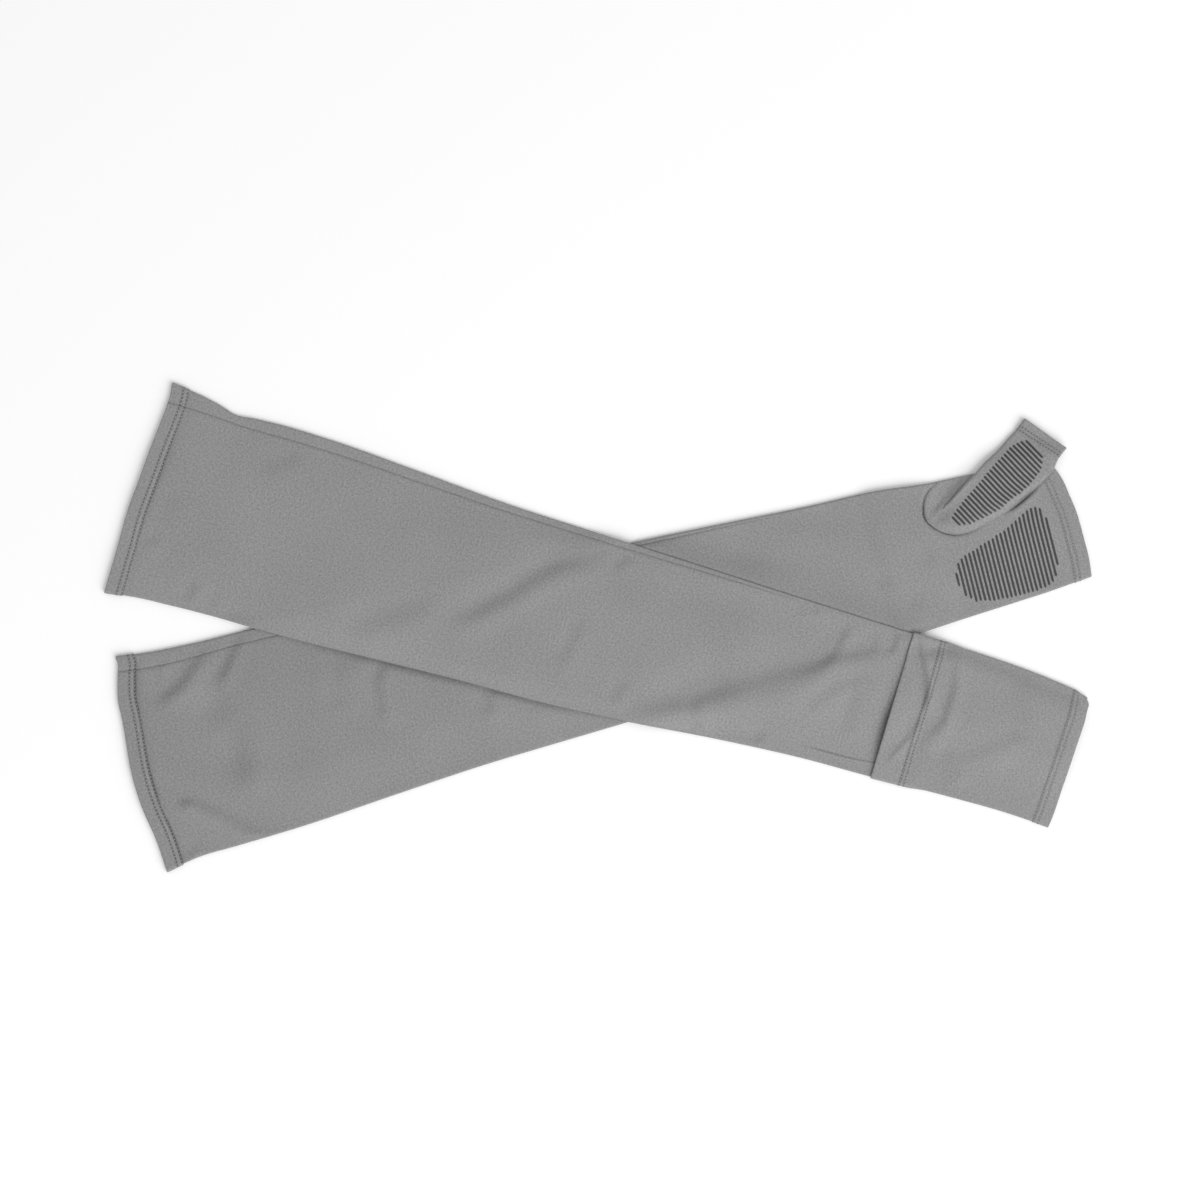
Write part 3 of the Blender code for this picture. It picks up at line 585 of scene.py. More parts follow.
def sleevePoint(sleeve, along, across, angle, side, upper, reach):
    # a point of the tube's outer face. angle is 0 on the palm layer, pi on the back, and in
    # between round a side fold, where across stays on the fold's own line.
    heights = skins(sleeve, along, across)
    palm, back = heights["palm"], heights[upper]
    height = (palm + back) / 2 + np.cos(angle) * (palm - back) / 2
    spread = cloth["hemSpread"] * hemAt(along)[0] / cloth["hemExtra"]
    outward = across + side * (reach + spread) * np.sin(angle)
    x, y = planOf(sleeve, along + endShift(sleeve, along, across), outward)
    return np.stack([x, y, height], axis=-1)


# A sheet is a dictionary of points and faces on the cloth's outer face, with the painted shade of each point;
# clothObject gives it
#  its thickness, with rounded edges.
def newSheet(points, thick, uv, paintedShade, faces):
    return {"points": np.asarray(points, float).reshape(-1, 3), "thick": np.ravel(thick),
            "uv": np.asarray(uv, float).reshape(-1, 2), "paintedShade": np.ravel(paintedShade), "faces": faces}


def gridFaces(rows, columns, closed, flip, keep=None):
    faces = []
    for i in range(rows - 1):
        for j in range(columns if closed else columns - 1):
            if keep is None or keep[i, j]:
                k = (j + 1) % columns
                face = (i * columns + j, i * columns + k, (i + 1) * columns + k, (i + 1) * columns + j)
                faces.append(face[::-1] if flip else face)
    return faces


def joinSheets(first, second):
    shift = len(first["points"])
    joined = {key: np.concatenate([first[key], second[key]]) for key in ("points", "thick", "uv", "paintedShade")}
    joined["faces"] = first["faces"] + [tuple(v + shift for v in face) for face in second["faces"]]
    return joined


def sheetNormals(points, faces):
    normals = np.zeros_like(points)
    for size in (3, 4):
        some = np.array([face for face in faces if len(face) == size])
        if len(some):
            a, b, c, d = (points[some[:, n]] for n in (0, 1, 2, size - 1))
            facing = np.cross(c - a, d - b) if size == 4 else np.cross(b - a, c - a)
            for n in range(size):
                np.add.at(normals, some[:, n], facing)
    return unit(normals)


def addObject(name, mesh):
    obj = bpy.data.objects.new(name, mesh)
    bpy.context.scene.collection.objects.link(obj)
    return obj


def clothObject(name, sheet, material, rimSteps=3):
    used = np.unique(np.concatenate([np.array(face) for face in sheet["faces"]]))
    renumber = np.full(len(sheet["points"]), -1)
    renumber[used] = np.arange(len(used))
    points, thick, uv, paintedShade = (sheet[key][used] for key in ("points", "thick", "uv", "paintedShade"))
    faces = [tuple(int(renumber[v]) for v in face) for face in sheet["faces"]]
    count = len(points)
    normals = sheetNormals(points, faces)
    inner = points - normals * thick[:, None]

    # the free edges, and which way out of the cloth they face
    directed = np.array([(face[n], face[(n + 1) % len(face)]) for face in faces for n in range(len(face))])
    forward, backward = directed @ (count, 1), directed @ (1, count)
    rim = directed[~np.isin(forward, backward)]
    runs = unit(points[rim[:, 1]] - points[rim[:, 0]])
    outward = np.zeros_like(points)
    for end in (0, 1):
        np.add.at(outward, rim[:, end], np.cross(runs, normals[rim[:, end]]))
    rimVerts = np.unique(rim)
    out = unit(outward[rimVerts]) * (thick[rimVerts] / 2)[:, None]
    middle, half = (points + inner)[rimVerts] / 2, (points - inner)[rimVerts] / 2
    place = np.full(count, -1)
    place[rimVerts] = np.arange(len(rimVerts))
    angles = [math.pi * step / (rimSteps + 1) for step in range(1, rimSteps + 1)]
    layers = [points, inner] + [middle + half * math.cos(angle) + out * math.sin(angle) for angle in angles]
    uvs = [uv, uv] + [uv[rimVerts]] * rimSteps
    creases = [paintedShade, paintedShade] + [paintedShade[rimVerts]] * rimSteps
    allFaces = list(faces) + [tuple(v + count for v in reversed(face)) for face in faces]
    for a, b in rim:
        bases = [2 * count + step * len(rimVerts) for step in range(rimSteps)]
        ring = [(a, b)] + [(base + place[a], base + place[b]) for base in bases] + [(a + count, b + count)]
        allFaces += [(int(b0), int(a0), int(a1), int(b1)) for (a0, b0), (a1, b1) in zip(ring[:-1], ring[1:])]

    mesh = bpy.data.meshes.new(name)
    mesh.from_pydata((np.concatenate(layers) * 0.001).tolist(), [], allFaces)
    mesh.materials.append(material)
    mesh.shade_smooth()
    corners = np.empty(len(mesh.loops), np.int32)
    mesh.loops.foreach_get("vertex_index", corners)
    layer = mesh.uv_layers.new(name="clothMap")
    layer.data.foreach_set("uv", (np.concatenate(uvs)[corners] * 0.001).astype(np.float32).ravel())
    # painted shade at each point, which the jersey material turns into darker colour
    shade = mesh.attributes.new("creaseShade", "FLOAT", "POINT")
    shade.data.foreach_set("value", np.concatenate(creases).astype(np.float32))
    print(name, len(mesh.vertices), "points", len(allFaces), "faces")
    return addObject(name, mesh)


meshDetail = {
    "armStep": 2.7, "wristStep": 1.2, "handStep": 1.25, "hemStep": 0.55,
    "crossingStep": 1.5, "crossing": (338.0, 462.0), "wristFrom": 468.0,
    "bodyColumns": 54, "lowerColumns": 36, "foldColumns": 7, "handColumns": 62,
    "handFoldColumns": 4,   # how many of the fold's columns belong to the palm beyond the wrist
    "hemPart": 12.1,        # the part of each end that a hem needs close rows for
    "endRow": 0.15,
    "flapRows": (16.2, 22.2),   # close rows over the stitches of the hand piece's loose edge
    "square": 45.0,         # half width of the square field that the palm's triangles are laid out in
    # points kept clear of the thumb's seam, on the edge and elsewhere, and the rows beside it
    "clearEdge": 0.7, "clearPalm": 1.45, "besideSeam": (-1.0, -0.45, 0.45, 1.0), "clearEnds": 0.6,
    "rowPoints": 130, "tubeRow": (140, 9),      # of a row of stitches: flat part, fold
}


def stationsFrom(start, *runs):
    # places along a sleeve: each run goes on to its end in steps of about the given length
    stations = [start]
    for end, step in runs:
        count = max(int(round((end - stations[-1]) / step)), 1)
        stations += list(np.linspace(stations[-1], end, count + 1))[1:]
    return stations


def armStations():
    first, last = meshDetail["crossing"]
    step, wristStep = meshDetail["armStep"], meshDetail["wristStep"]
    return np.array([0.0] + stationsFrom(
        meshDetail["endRow"], (meshDetail["hemPart"], meshDetail["hemStep"]), (first, step),
        (last, meshDetail["crossingStep"]), (meshDetail["wristFrom"], step), (wrist["backEnd"], wristStep)))


def handStations(start):
    end, step, hemStep = cloth["length"], meshDetail["handStep"], meshDetail["hemStep"]
    low, high = meshDetail["flapRows"]
    looseEdge = [(start + low, step), (start + high, hemStep)] if start == wrist["slitAt"] else []
    return np.array(stationsFrom(start, *looseEdge, (end - meshDetail["hemPart"], step),
                                 (end - meshDetail["endRow"], hemStep)) + [end])


def foldAngles():
    count = meshDetail["foldColumns"]
    return np.array([math.pi * (k + 1) / (count + 1) for k in range(count)])


def layerColumns(sleeve, along, shown):
    # across positions of one flat layer, from the thumb side to the outer side. The layer that
    # shows has a column on each lengthwise seam, with close ones beside it.
    thumbEdge, outerEdge = edgesOf(sleeve, along)
    reach = cloth["foldReach"]
    first, last = thumbEdge - reach, reach - outerEdge
    if not shown:
        return first[:, None] + (last - first)[:, None] * np.linspace(0, 1, meshDetail["lowerColumns"])
    seam = thumbEdge - np.maximum(valueAt(sleeve["seamInset"], along), reach + 1.3)
    columns = [first + (seam + 0.9 - first) * part for part in (0, 0.33, 0.67)]
    columns += [seam + beside for beside in (0.9, 0.45, 0.0, -0.45, -0.9)]
    outer = outerEdge - valueAt(wrist["outerSeamInset"], along)
    shares = np.linspace(0, 1, meshDetail["bodyColumns"] + 1)[1:]
    columns += [seam - 0.9 + (1.8 - outer - seam) * part for part in shares]
    columns += [beside - outer for beside in (0.5, 0.0, -0.5, -1.0, -1.5)]
    columns += [-1.5 - outer + (last + 1.5 + outer) * part for part in (0.25, 0.5, 0.75, 1.0)]
    return np.stack(columns, axis=1)


def armSheet(sleeve):
    # the whole tube of the arm, and the part of its last row that the palm beyond it is sewn to
    stations = armStations()
    palm = layerColumns(sleeve, stations, sleeve["palmUp"])
    back = layerColumns(sleeve, stations, not sleeve["palmUp"])[:, ::-1]
    angles, reach = foldAngles(), cloth["foldReach"]
    outerFold = np.repeat(palm[:, -1:], len(angles), axis=1)
    thumbFold = np.repeat(palm[:, :1], len(angles), axis=1)
    backArc = palm[:, -1:] - math.pi * reach - (back - back[:, :1])
    thumbArc = backArc[:, -1:] - reach * (math.pi - angles[::-1])
    # across, angle, side and the way gone round the tube, of each part
    parts = [(palm, 0.0, 0.0, palm), (outerFold, angles, -1.0, outerFold - angles * reach),
             (back, math.pi, 0.0, backArc), (thumbFold, angles[::-1], 1.0, thumbArc)]
    across, angle, side, arc = (
        np.concatenate([np.broadcast_to(part[n], part[0].shape) for part in parts], axis=1) for n in range(4))
    rows, columns = across.shape
    along = np.repeat(stations[:, None], columns, axis=1)
    points = sleevePoint(sleeve, along, across, angle, side, "armBack", reach)
    # painted shade of the seams, needle rows, slit and crevice
    paintedShade = paintedSeamShade(sleeve, along, across, angle) + paintedHemShade(along) + paintedSlitShade(along, across, angle)
    paintedShade = paintedShade + paintedCreviceShade(sleeve, along, across, angle, side)
    sheet = newSheet(points, cloth["thickness"] + hemAt(along)[0], np.stack([arc, along], axis=-1), paintedShade,
                     gridFaces(rows, columns, True, not sleeve["palmUp"]))
    folds = meshDetail["handFoldColumns"]
    ring = np.array(list(range(columns - folds, columns)) + list(range(palm.shape[1] + folds)))
    return sheet, (rows - 1) * columns + ring, across[-1, ring] + side[-1, ring] * angle[-1, ring] * reach


def paintedSeamShade(sleeve, along, across, angle):
    # painted shade in the seams and the inner needle row, on the left sleeve beside the right one, and over
    # its wide end
    beyond, shown = beyondSeam(sleeve, along, across)
    near = seamForm["shade"] * bell(beyond, seamForm["shadeWidth"]) * shown
    near = near + innerRowAt(sleeve, along, across)[1]
    if sleeve["palmUp"]:
        near = near + drape["swellShade"] * bell(beyondRight(along, across)[0], drape["swellShadeWidth"])
        near = near + wideShade["most"] * (1 - smoothStep(*wideShade["end"], along))
        return near * (angle < 0.1)
    outer = seamForm["outerShade"] * bell(across - outerSeamAt(along), seamForm["outerShadeWidth"])
    return (near + outer * smoothStep(*wrist["outerSeamShown"], along)) * (angle > 3.1)


def paintedCreviceShade(sleeve, along, across, angle, side):
    # painted shade in the crevice where the right sleeve's lower fold lies on the left one
    if sleeve["palmUp"]:
        return 0.0
    over = smoothStep(0.0, 2.0, -outsideOf(leftSleeve, *planOf(sleeve, along, across)))
    return over * (side < 0) * (1 - smoothStep(0.55 * math.pi, 0.85 * math.pi, angle))


def paintedSlitShade(along, across, angle):
    # the shade in the slit, under the loose edge of the hand piece, and softly in front of it
    deep = wrist["slitPaintedShade"] * bell(along - wrist["slitAt"] - 0.3, 1.0)
    lens = bell(across - wrist["slitShadeAt"], wrist["slitShadeWidth"])
    start = wrist["slitAt"] - wrist["slitShadeLength"]
    soft = wrist["slitShade"] * lens * smoothStep(start, wrist["slitAt"], along)
    return np.maximum(deep, soft) * (angle > 3.0) * (along < wrist["slitAt"] + 4)


def paintedHemShade(along):
    hand = paintedRowShade(cloth["length"] - along, cloth["hemRows"])
    return paintedRowShade(along, cloth["hemRows"]) + cloth["handRowShade"] * hand


def paintedThumbSeamShade(along, across):
    gap, strength = fromThumbSeam(along, across)
    return thumbSeam["shade"] * strength * bell(gap, 0.35 + 0.3 * strength)


def arcLimits(sleeve, along):
    thumbEdge, outerEdge = edgesOf(sleeve, along)
    reach = cloth["foldReach"]
    past = foldAngles()[meshDetail["handFoldColumns"] - 1] * reach
    return thumbEdge - reach + past, outerEdge - reach + past


def arcPoint(sleeve, along, arc):
    # arc runs across the palm and on round its side folds
    thumbEdge, outerEdge = edgesOf(sleeve, along)
    reach = cloth["foldReach"]
    across = np.clip(arc, reach - outerEdge, thumbEdge - reach)
    angle, side = np.abs(arc - across) / reach, np.sign(arc - across)
    return sleevePoint(sleeve, along, across, angle, side, "handBack", reach)


def fromLine(spots, line):
    return np.sqrt(((spots[:, None, :] - line[None, :, :]) ** 2).sum(axis=2)).min(axis=1)


def between(first, second, column, value):
    # the spot between two where one of its coordinates has this value
    return first + (second - first) * ((value - first[column]) / (second[column] - first[column]))


def palmSpots(sleeve, borderArc, squared):
    # where the palm's points lie: rows of them, kept clear of the thumb's seam, and the seam's own
    start, end, width = wrist["backEnd"], cloth["length"], meshDetail["square"]
    wristRow = np.full(len(borderArc), start)
    first = np.column_stack([wristRow, squared(wristRow, borderArc)])
    first[0, 1], first[-1, 1] = width, -width
    stations = handStations(start)[1:]
    high, low = arcLimits(sleeve, stations)
    angles = foldAngles()[:meshDetail["handFoldColumns"]] * cloth["foldReach"]
    inner = np.linspace(1.0, -1.0, meshDetail["handColumns"])
    middle = (high - low)[:, None] / 2 + inner[None, :] * ((high + low) / 2 - angles[-1])[:, None]
    thumbSide = (high - angles[-1])[:, None] + angles[::-1][None, :]
    outerSide = -(low - angles[-1])[:, None] - angles[None, :]
    arcs = np.concatenate([thumbSide, middle, outerSide], axis=1)
    rows = np.column_stack([np.repeat(stations, arcs.shape[1]), arcs.ravel()])
    seam = smoothLine(thumbSeam["line"], 1.0)
    gaps = np.full(len(rows), 1e9)
    near = rows[:, 1] > 0
    gaps[near] = fromLine(rows[near], seam)
    rowsSquared = np.column_stack([rows[:, 0], squared(*rows.T)])
    edge = (np.abs(np.abs(rowsSquared[:, 1]) - width) < 1e-6) | (rows[:, 0] > end - 1e-6)
    spots = [first, rowsSquared[(gaps > meshDetail["clearPalm"]) | (edge & (gaps > meshDetail["clearEdge"]))]]

    runs = unit(np.gradient(seam, axis=0))
    sideways = np.column_stack([-runs[:, 1], runs[:, 0]])
    clear = meshDetail["clearEnds"]
    for beside in meshDetail["besideSeam"]:
        line = seam + sideways * beside
        line = np.column_stack([line[:, 0], squared(*line.T)])
        spots.append(line[(line[:, 0] < end - clear) & (line[:, 1] < width - clear)])
    seam = np.column_stack([seam[:, 0], squared(*seam.T)])
    a, b = np.nonzero((seam[:, 0] < end) & (seam[:, 1] < width))[0][[0, -1]]
    entry = between(seam[a - 1], seam[a], 1, width)
    leave = between(seam[b], seam[b + 1], 0, end)
    if leave[1] > width:
        leave = np.array([seam[b, 0], width])
    entry[1] = width
    spots.append(np.vstack([entry, seam[a + 1:b - 1], leave]))
    return np.vstack(spots), len(spots[-1])


def palmTriangles(sleeve, border, borderArc):
    # the palm past the wrist as one field of triangles, with edges laid on the thumb's seam
    width = meshDetail["square"]

    def squared(along, arc):
        high, low = arcLimits(sleeve, along)
        return np.where(arc > 0, arc / high, arc / low) * width

    spots, seamCount = palmSpots(sleeve, borderArc, squared)
    links = [(k, k + 1) for k in range(len(spots) - seamCount, len(spots) - 1)]
    result = delaunay_2d_cdt([Vector(spot) for spot in spots], links, [], 0, 1e-5)
    triSpots = np.array([tuple(v) for v in result[0]])
    along, arcSquared = triSpots.T
    high, low = arcLimits(sleeve, along)
    arc = np.where(arcSquared > 0, arcSquared / width * high, arcSquared / width * low)
    borderOf = {k: border[source] for k, sources in enumerate(result[3])
                for source in sources if source < len(border)}
    tris = []
    for tri in result[2]:
        a, b, c = (triSpots[v] for v in tri)
        area = (b[0] - a[0]) * (c[1] - a[1]) - (b[1] - a[1]) * (c[0] - a[0])
        if abs(area) >= 1e-5:
            tris.append(tuple(tri) if (area > 0) == sleeve["palmUp"] else tuple(reversed(tri)))
    centre = np.array([[along[list(tri)].mean(), arc[list(tri)].mean()] for tri in tris])
    inThumb = insidePolygon(smoothLine(thumbSeam["line"], 1.0), *centre.T)
    # the last is the painted shade of the thumb's seam and of the finger end's rows
    given = (arcPoint(sleeve, along, arc), cloth["thickness"] + hemAt(along)[0],
             np.column_stack([arc, along]), paintedThumbSeamShade(along, arc) + paintedHemShade(along))
    hand, gusset = (newSheet(*given, [tri for tri, thumb in zip(tris, inThumb) if thumb == wanted])
                    for wanted in (False, True))
    return hand, gusset, borderOf


def armAndGusset(sleeve):
    sheet, border, borderArc = armSheet(sleeve)
    hand, gusset, borderOf = palmTriangles(sleeve, border, borderArc)
    swap = {k + len(sheet["points"]): target for k, target in borderOf.items()}
    whole = joinSheets(sheet, hand)
    whole["faces"] = [tuple(swap.get(v, v) for v in face) for face in whole["faces"]]
    return whole, gusset


def handBackPoint(sleeve, along, across, angle, side):
    overTube = sleeve["overTube"] * (1 - smoothStep(*wrist["fall"], along))
    return sleevePoint(sleeve, along, across, angle, side, "handBack", cloth["foldReach"] + overTube)


def handBackColumns(sleeve, stations, flatColumns, foldColumns=3):
    # across, angle and side of the piece's columns: it ends part of the way round each side fold
    thumbEdge, outerEdge = edgesOf(sleeve, stations)
    reach = cloth["foldReach"]
    ends = wrist["foldEnd"] + sleeve["wristTuck"] * (1 - smoothStep(*wrist["fall"], stations))
    angles = ends[:, None] + (math.pi - ends)[:, None] * np.arange(foldColumns) / foldColumns
    first, last = (thumbEdge - reach)[:, None], (reach - outerEdge)[:, None]
    flat = first + (last - first) * np.linspace(0, 1, flatColumns)
    ones = np.ones((len(stations), foldColumns))
    across = np.concatenate([ones * first, flat, ones * last], axis=1)
    angle = np.concatenate([angles, np.full(flat.shape, math.pi), angles[:, ::-1]], axis=1)
    side = np.concatenate([ones, np.zeros(flat.shape), -ones], axis=1)
    return across, angle, side


def handBackSheet(sleeve):
    stations = handStations(wrist["slitAt"])
    across, angle, side = handBackColumns(sleeve, stations, meshDetail["handColumns"] + 6)
    along = np.repeat(stations[:, None], across.shape[1], axis=1)
    thick = cloth["thickness"] + hemAt(along)[0] + flapHemAt(along)[0]
    arc = across + side * cloth["foldReach"] * (math.pi - angle)
    # painted shade in the needle rows of the finger end and the loose edge
    paintedShade = paintedHemShade(along) + paintedRowShade(along - wrist["slitAt"], wrist["hemRows"])
    points = handBackPoint(sleeve, along, across, angle, side)
    return newSheet(points, thick, np.stack([arc, along], axis=-1), paintedShade,
                    gridFaces(*along.shape, False, sleeve["palmUp"]))


leftThumb = {
    # from the base; fold edge along, across; seam edge along, across; height over the palm; rise
    "rows": [
        (0, 509.6, 28.5, 510.6, 22.0, 0.15, 3.0), (5, 514.6, 27.2, 515.5, 15.9, 1.10, 6.0),
        (11, 522.4, 29.4, 523.2, 11.2, 2.40, 8.0), (20, 531.2, 34.6, 535.5, 10.0, 2.85, 9.0),
        (28, 537.4, 38.8, 546.0, 12.2, 2.90, 9.0), (40, 547.4, 45.1, 560.0, 16.2, 2.95, 8.0),
        (48, 553.7, 49.3, 570.0, 20.0, 2.95, 6.0), (61, 564.9, 55.4, 584.0, 27.1, 2.95, 3.2),
        (70, 571.5, 59.9, 592.4, 32.4, 2.85, 2.0), (78, 578.2, 64.1, 599.4, 40.4, 2.80, 1.6),
        (87, 584.7, 69.5, 605.3, 44.8, 2.80, 1.6),
    ],
    # seamShade: where along the thumb its seam's painted shade is strongest
    "sewnUntil": 70.0, "seamShade": 51.0, "crown": 0.45, "hemExtra": 0.4,
}
rightThumb = {
    "rows": [
        (0, 509.6, 28.5, 510.6, 22.0, 0.15, 3.0), (6, 515.5, 30.0, 516.5, 15.6, 1.10, 5.0),
        (13, 523.0, 33.0, 523.5, 11.6, 2.30, 5.0), (23, 533.0, 34.6, 533.5, 8.6, 2.35, 2.0),
        (34, 544.0, 34.8, 543.5, 6.4, 2.35, 1.6), (46, 556.0, 34.0, 554.0, 4.0, 2.35, 1.6),
        (58, 568.0, 32.5, 564.5, 2.0, 2.35, 1.6), (70, 580.0, 30.5, 575.0, 0.0, 2.35, 1.6),
    ],
    # seamShade: where along the thumb its seam's painted shade is strongest
    "sewnUntil": 18.0, "seamShade": 10.0, "crown": 0.12, "hemExtra": 0.22,
}
thumbDetail = {
    "rowStep": 1.15, "hemStep": 0.5, "overColumns": 28, "foldColumns": 5, "underColumns": 14,
    "hemDepth": 8.2, "hemRows": (5.4, 7.9), "beyondPalm": (2.0, 17.0), "baseLow": -0.5, "under": 0.12,
    "emerge": (5.0, 20.0),  # the fold's edge grows out of the cloth over this stretch
    "leastRoom": 1.95, "leastFold": 0.6,    # the tube is open where its inside or its fold is lower
    "easePower": 2.2, "crownFrom": (8, 30), "besideFold": 9.0, "foldSunk": 0.35, "pulled": 0.6,
    # painted shade along the thumb's seam
    "seamShade": (0.35, 0.65, 0.6), "shadeReach": 7.0,      # all along, more near the end, beside it
}


def thumbPlace(sleeve, along, across, out):
    # a point this far out from the face of the palm, coming down to the table beyond its edge
    thumbEdge, _ = edgesOf(sleeve, along)
    insideAcross = np.minimum(across, thumbEdge - cloth["foldReach"])
    insideAlong = np.minimum(along, cloth["length"] - 1)
    x, y = planOf(sleeve, along, across)
    outside = np.maximum(across - thumbEdge, along - cloth["length"])
    held = 1 - smoothStep(*thumbDetail["beyondPalm"], outside)
    face = skins(sleeve, insideAlong, insideAcross)["palm"]
    if sleeve["palmUp"]:
        face = face - thumbSeamRelief(insideAlong, insideAcross)
        return np.stack([x, y, face * held + out], axis=-1)
    return np.stack([x, y, face - out], axis=-1)


def thumbRing(sleeve, thumb, stations):
    # points round the thumb tube at each station, with what thumbSheet needs to know of them
    table = through(thumb["rows"], stations)
    foldA, foldC, seamA, seamC, top, rise = (column[:, None] for column in table.T)
    width = np.hypot(seamA - foldA, seamC - foldC)
    free = smoothStep(thumb["sewnUntil"] - 3, thumb["sewnUntil"] + 1, stations)[:, None]
    fromTip = thumb["rows"][-1][0] - stations
    thicker, pulled = hemRelief(fromTip, thumbDetail["hemDepth"], thumbDetail["hemRows"], thumb["hemExtra"])
    reach, under, low = cloth["foldReach"], thumbDetail["under"], thumbDetail["baseLow"]
    endAt = width - reach * free
    share = np.linspace(0, 1, thumbDetail["overColumns"])
    over = reach + (endAt - reach) * share
    ease = 1 - (1 - np.clip((width - over) / rise, 0, 1)) ** thumbDetail["easePower"]
    height = (low + (top - low) * ease) * (1 - free) + top * free
    crown = thumb["crown"] * smoothStep(*thumbDetail["crownFrom"], stations)[:, None]
    height = height + crown * np.sin(math.pi * share)
    emerge = smoothStep(*thumbDetail["emerge"], stations)[:, None]
    fromFold = smoothStep(0, thumbDetail["besideFold"], over - reach)
    height = height * (emerge + (1 - emerge) * fromFold)
    height = height - thumbDetail["foldSunk"] * (1 - emerge) * (1 - fromFold)
    height = height + 2 * thicker[:, None] + thumbDetail["pulled"] * pulled[:, None]
    angles = math.pi * np.arange(1, thumbDetail["foldColumns"] + 1) / (thumbDetail["foldColumns"] + 1)

    def folded(distance, towards, topHeight):
        middle, half = (topHeight + under) / 2, (topHeight - under) / 2
        return distance + towards * reach * np.sin(angles), middle + np.cos(angles) * half

    seamSpots, seamHeights = folded(endAt, 1, height[:, -1:])
    foldSpots, foldHeights = folded(np.full(endAt.shape, reach), -1, height[:, :1])
    underSpots = reach + (endAt - reach) * np.linspace(1, 0, thumbDetail["underColumns"])
    spots = np.concatenate([over, seamSpots, underSpots, foldSpots[:, ::-1]], axis=1)
    flat = np.full(underSpots.shape, under)
    heights = np.concatenate([height, seamHeights, flat, foldHeights[:, ::-1]], axis=1)
    along = foldA + (seamA - foldA) / width * spots
    across = foldC + (seamC - foldC) / width * spots
    room = np.array([np.interp(underSpots[i], over[i], height[i]) for i in range(len(stations))])
    return thumbPlace(sleeve, along, across, heights), spots, heights, room, thicker, free[:, 0]


def thumbSheet(sleeve, thumb):
    length = thumb["rows"][-1][0]
    hem = length - thumbDetail["hemDepth"] - 1.0
    stations = np.array(stationsFrom(0.0, (hem, thumbDetail["rowStep"]), (length, thumbDetail["hemStep"])))
    points, spots, heights, room, thicker, free = thumbRing(sleeve, thumb, stations)
    ring = np.cumsum(np.hypot(np.diff(spots, axis=1, prepend=spots[:, :1]),
                              np.diff(heights, axis=1, prepend=heights[:, :1])), axis=1)
    rows, columns = spots.shape
    uv = np.stack([ring, np.repeat(stations[:, None], columns, axis=1)], axis=-1)
    thick = np.repeat((cloth["thickness"] + thicker)[:, None], columns, axis=1)
    # painted shade in the thumb's hem rows, and below along its seam
    paintedShade = np.repeat(paintedRowShade(length - stations, thumbDetail["hemRows"])[:, None], columns, axis=1)
    overEnd = thumbDetail["overColumns"] - 1
    allAlong, more, beside = thumbDetail["seamShade"]
    nearEnd = bell(stations - thumb["seamShade"], thumbDetail["shadeReach"])
    paintedShade[:, overEnd] += (allAlong + more * nearEnd) * (1 - free)
    paintedShade[:, overEnd - 1] += beside * nearEnd * (1 - free)
    # the faces that would lie inside the palm's cloth are left out
    seamEnd = overEnd + thumbDetail["foldColumns"] + 1
    underEnd = seamEnd + thumbDetail["underColumns"] - 1
    keep = np.ones((rows - 1, columns), bool)
    sewn = stations[:-1] < thumb["sewnUntil"]
    keep[sewn, overEnd:seamEnd] = False
    keep[:, seamEnd:underEnd] = (room[:-1, :underEnd - seamEnd] > thumbDetail["leastRoom"]) | ~sewn[:, None]
    keep[heights[:-1, 0] < thumbDetail["leastFold"], underEnd:] = False
    return newSheet(points, thick, uv, paintedShade, gridFaces(rows, columns, True, not sleeve["palmUp"], keep))


print("shapes ready")


# --- materials
def linear(hexColour):
    values = [int(hexColour[k:k + 2], 16) / 255 for k in (1, 3, 5)]
    return tuple(v / 12.92 if v <= 0.04045 else ((v + 0.055) / 1.055) ** 2.4 for v in values) + (1.0,)


def newMaterial(name):
    material = bpy.data.materials.new(name)
    material.use_nodes = True
    material.node_tree.nodes.clear()
    return material, material.node_tree


def addNode(tree, kind, sockets=None, **settings):
    # a socket takes a plain value, another node's output, or a node whose first output is meant
    node = tree.nodes.new(kind)
    for key, value in settings.items():
        setattr(node, key, value)
    for key, value in (sockets or {}).items():
        if isinstance(value, bpy.types.Node):
            value = value.outputs[0]
        if isinstance(value, bpy.types.NodeSocket):
            tree.links.new(value, node.inputs[key])
        else:
            node.inputs[key].default_value = value
    return node


jersey = {
    "arm": "#8D8D8D", "hand": "#8E8E8E", "thumb": "#8E8E8E",
    "roughness": 0.9, "sheen": 0.25, "sheenRoughness": 0.45, "specular": 0.25,
    # how the loops lean, how their tops and the ribs are rounded, how much the yarn wobbles
    "lean": 1.2, "loopTop": (0.3, 0.2), "ribTop": (0.16, 0.1), "ribShare": 1.6, "wobble": 0.35,
    # real jersey has about 20 wales a centimetre; drawn over twice as coarse so that it shows
    "waleWidth": 0.0012, "courseHeight": 0.001, "knitDepth": 0.00022, "wobbleSize": 1 / 900,
    "mottleSize": 0.0013, "mottle": 0.24, "cloudSize": 1 / 22, "cloudShare": 0.12,
    # loopShade is painted shade between the knit loops; seamShade is how dark the cloth's painted shade goes
    # at its darkest
    "loopShade": (0.9, 1.06), "seamShade": 0.36,
}


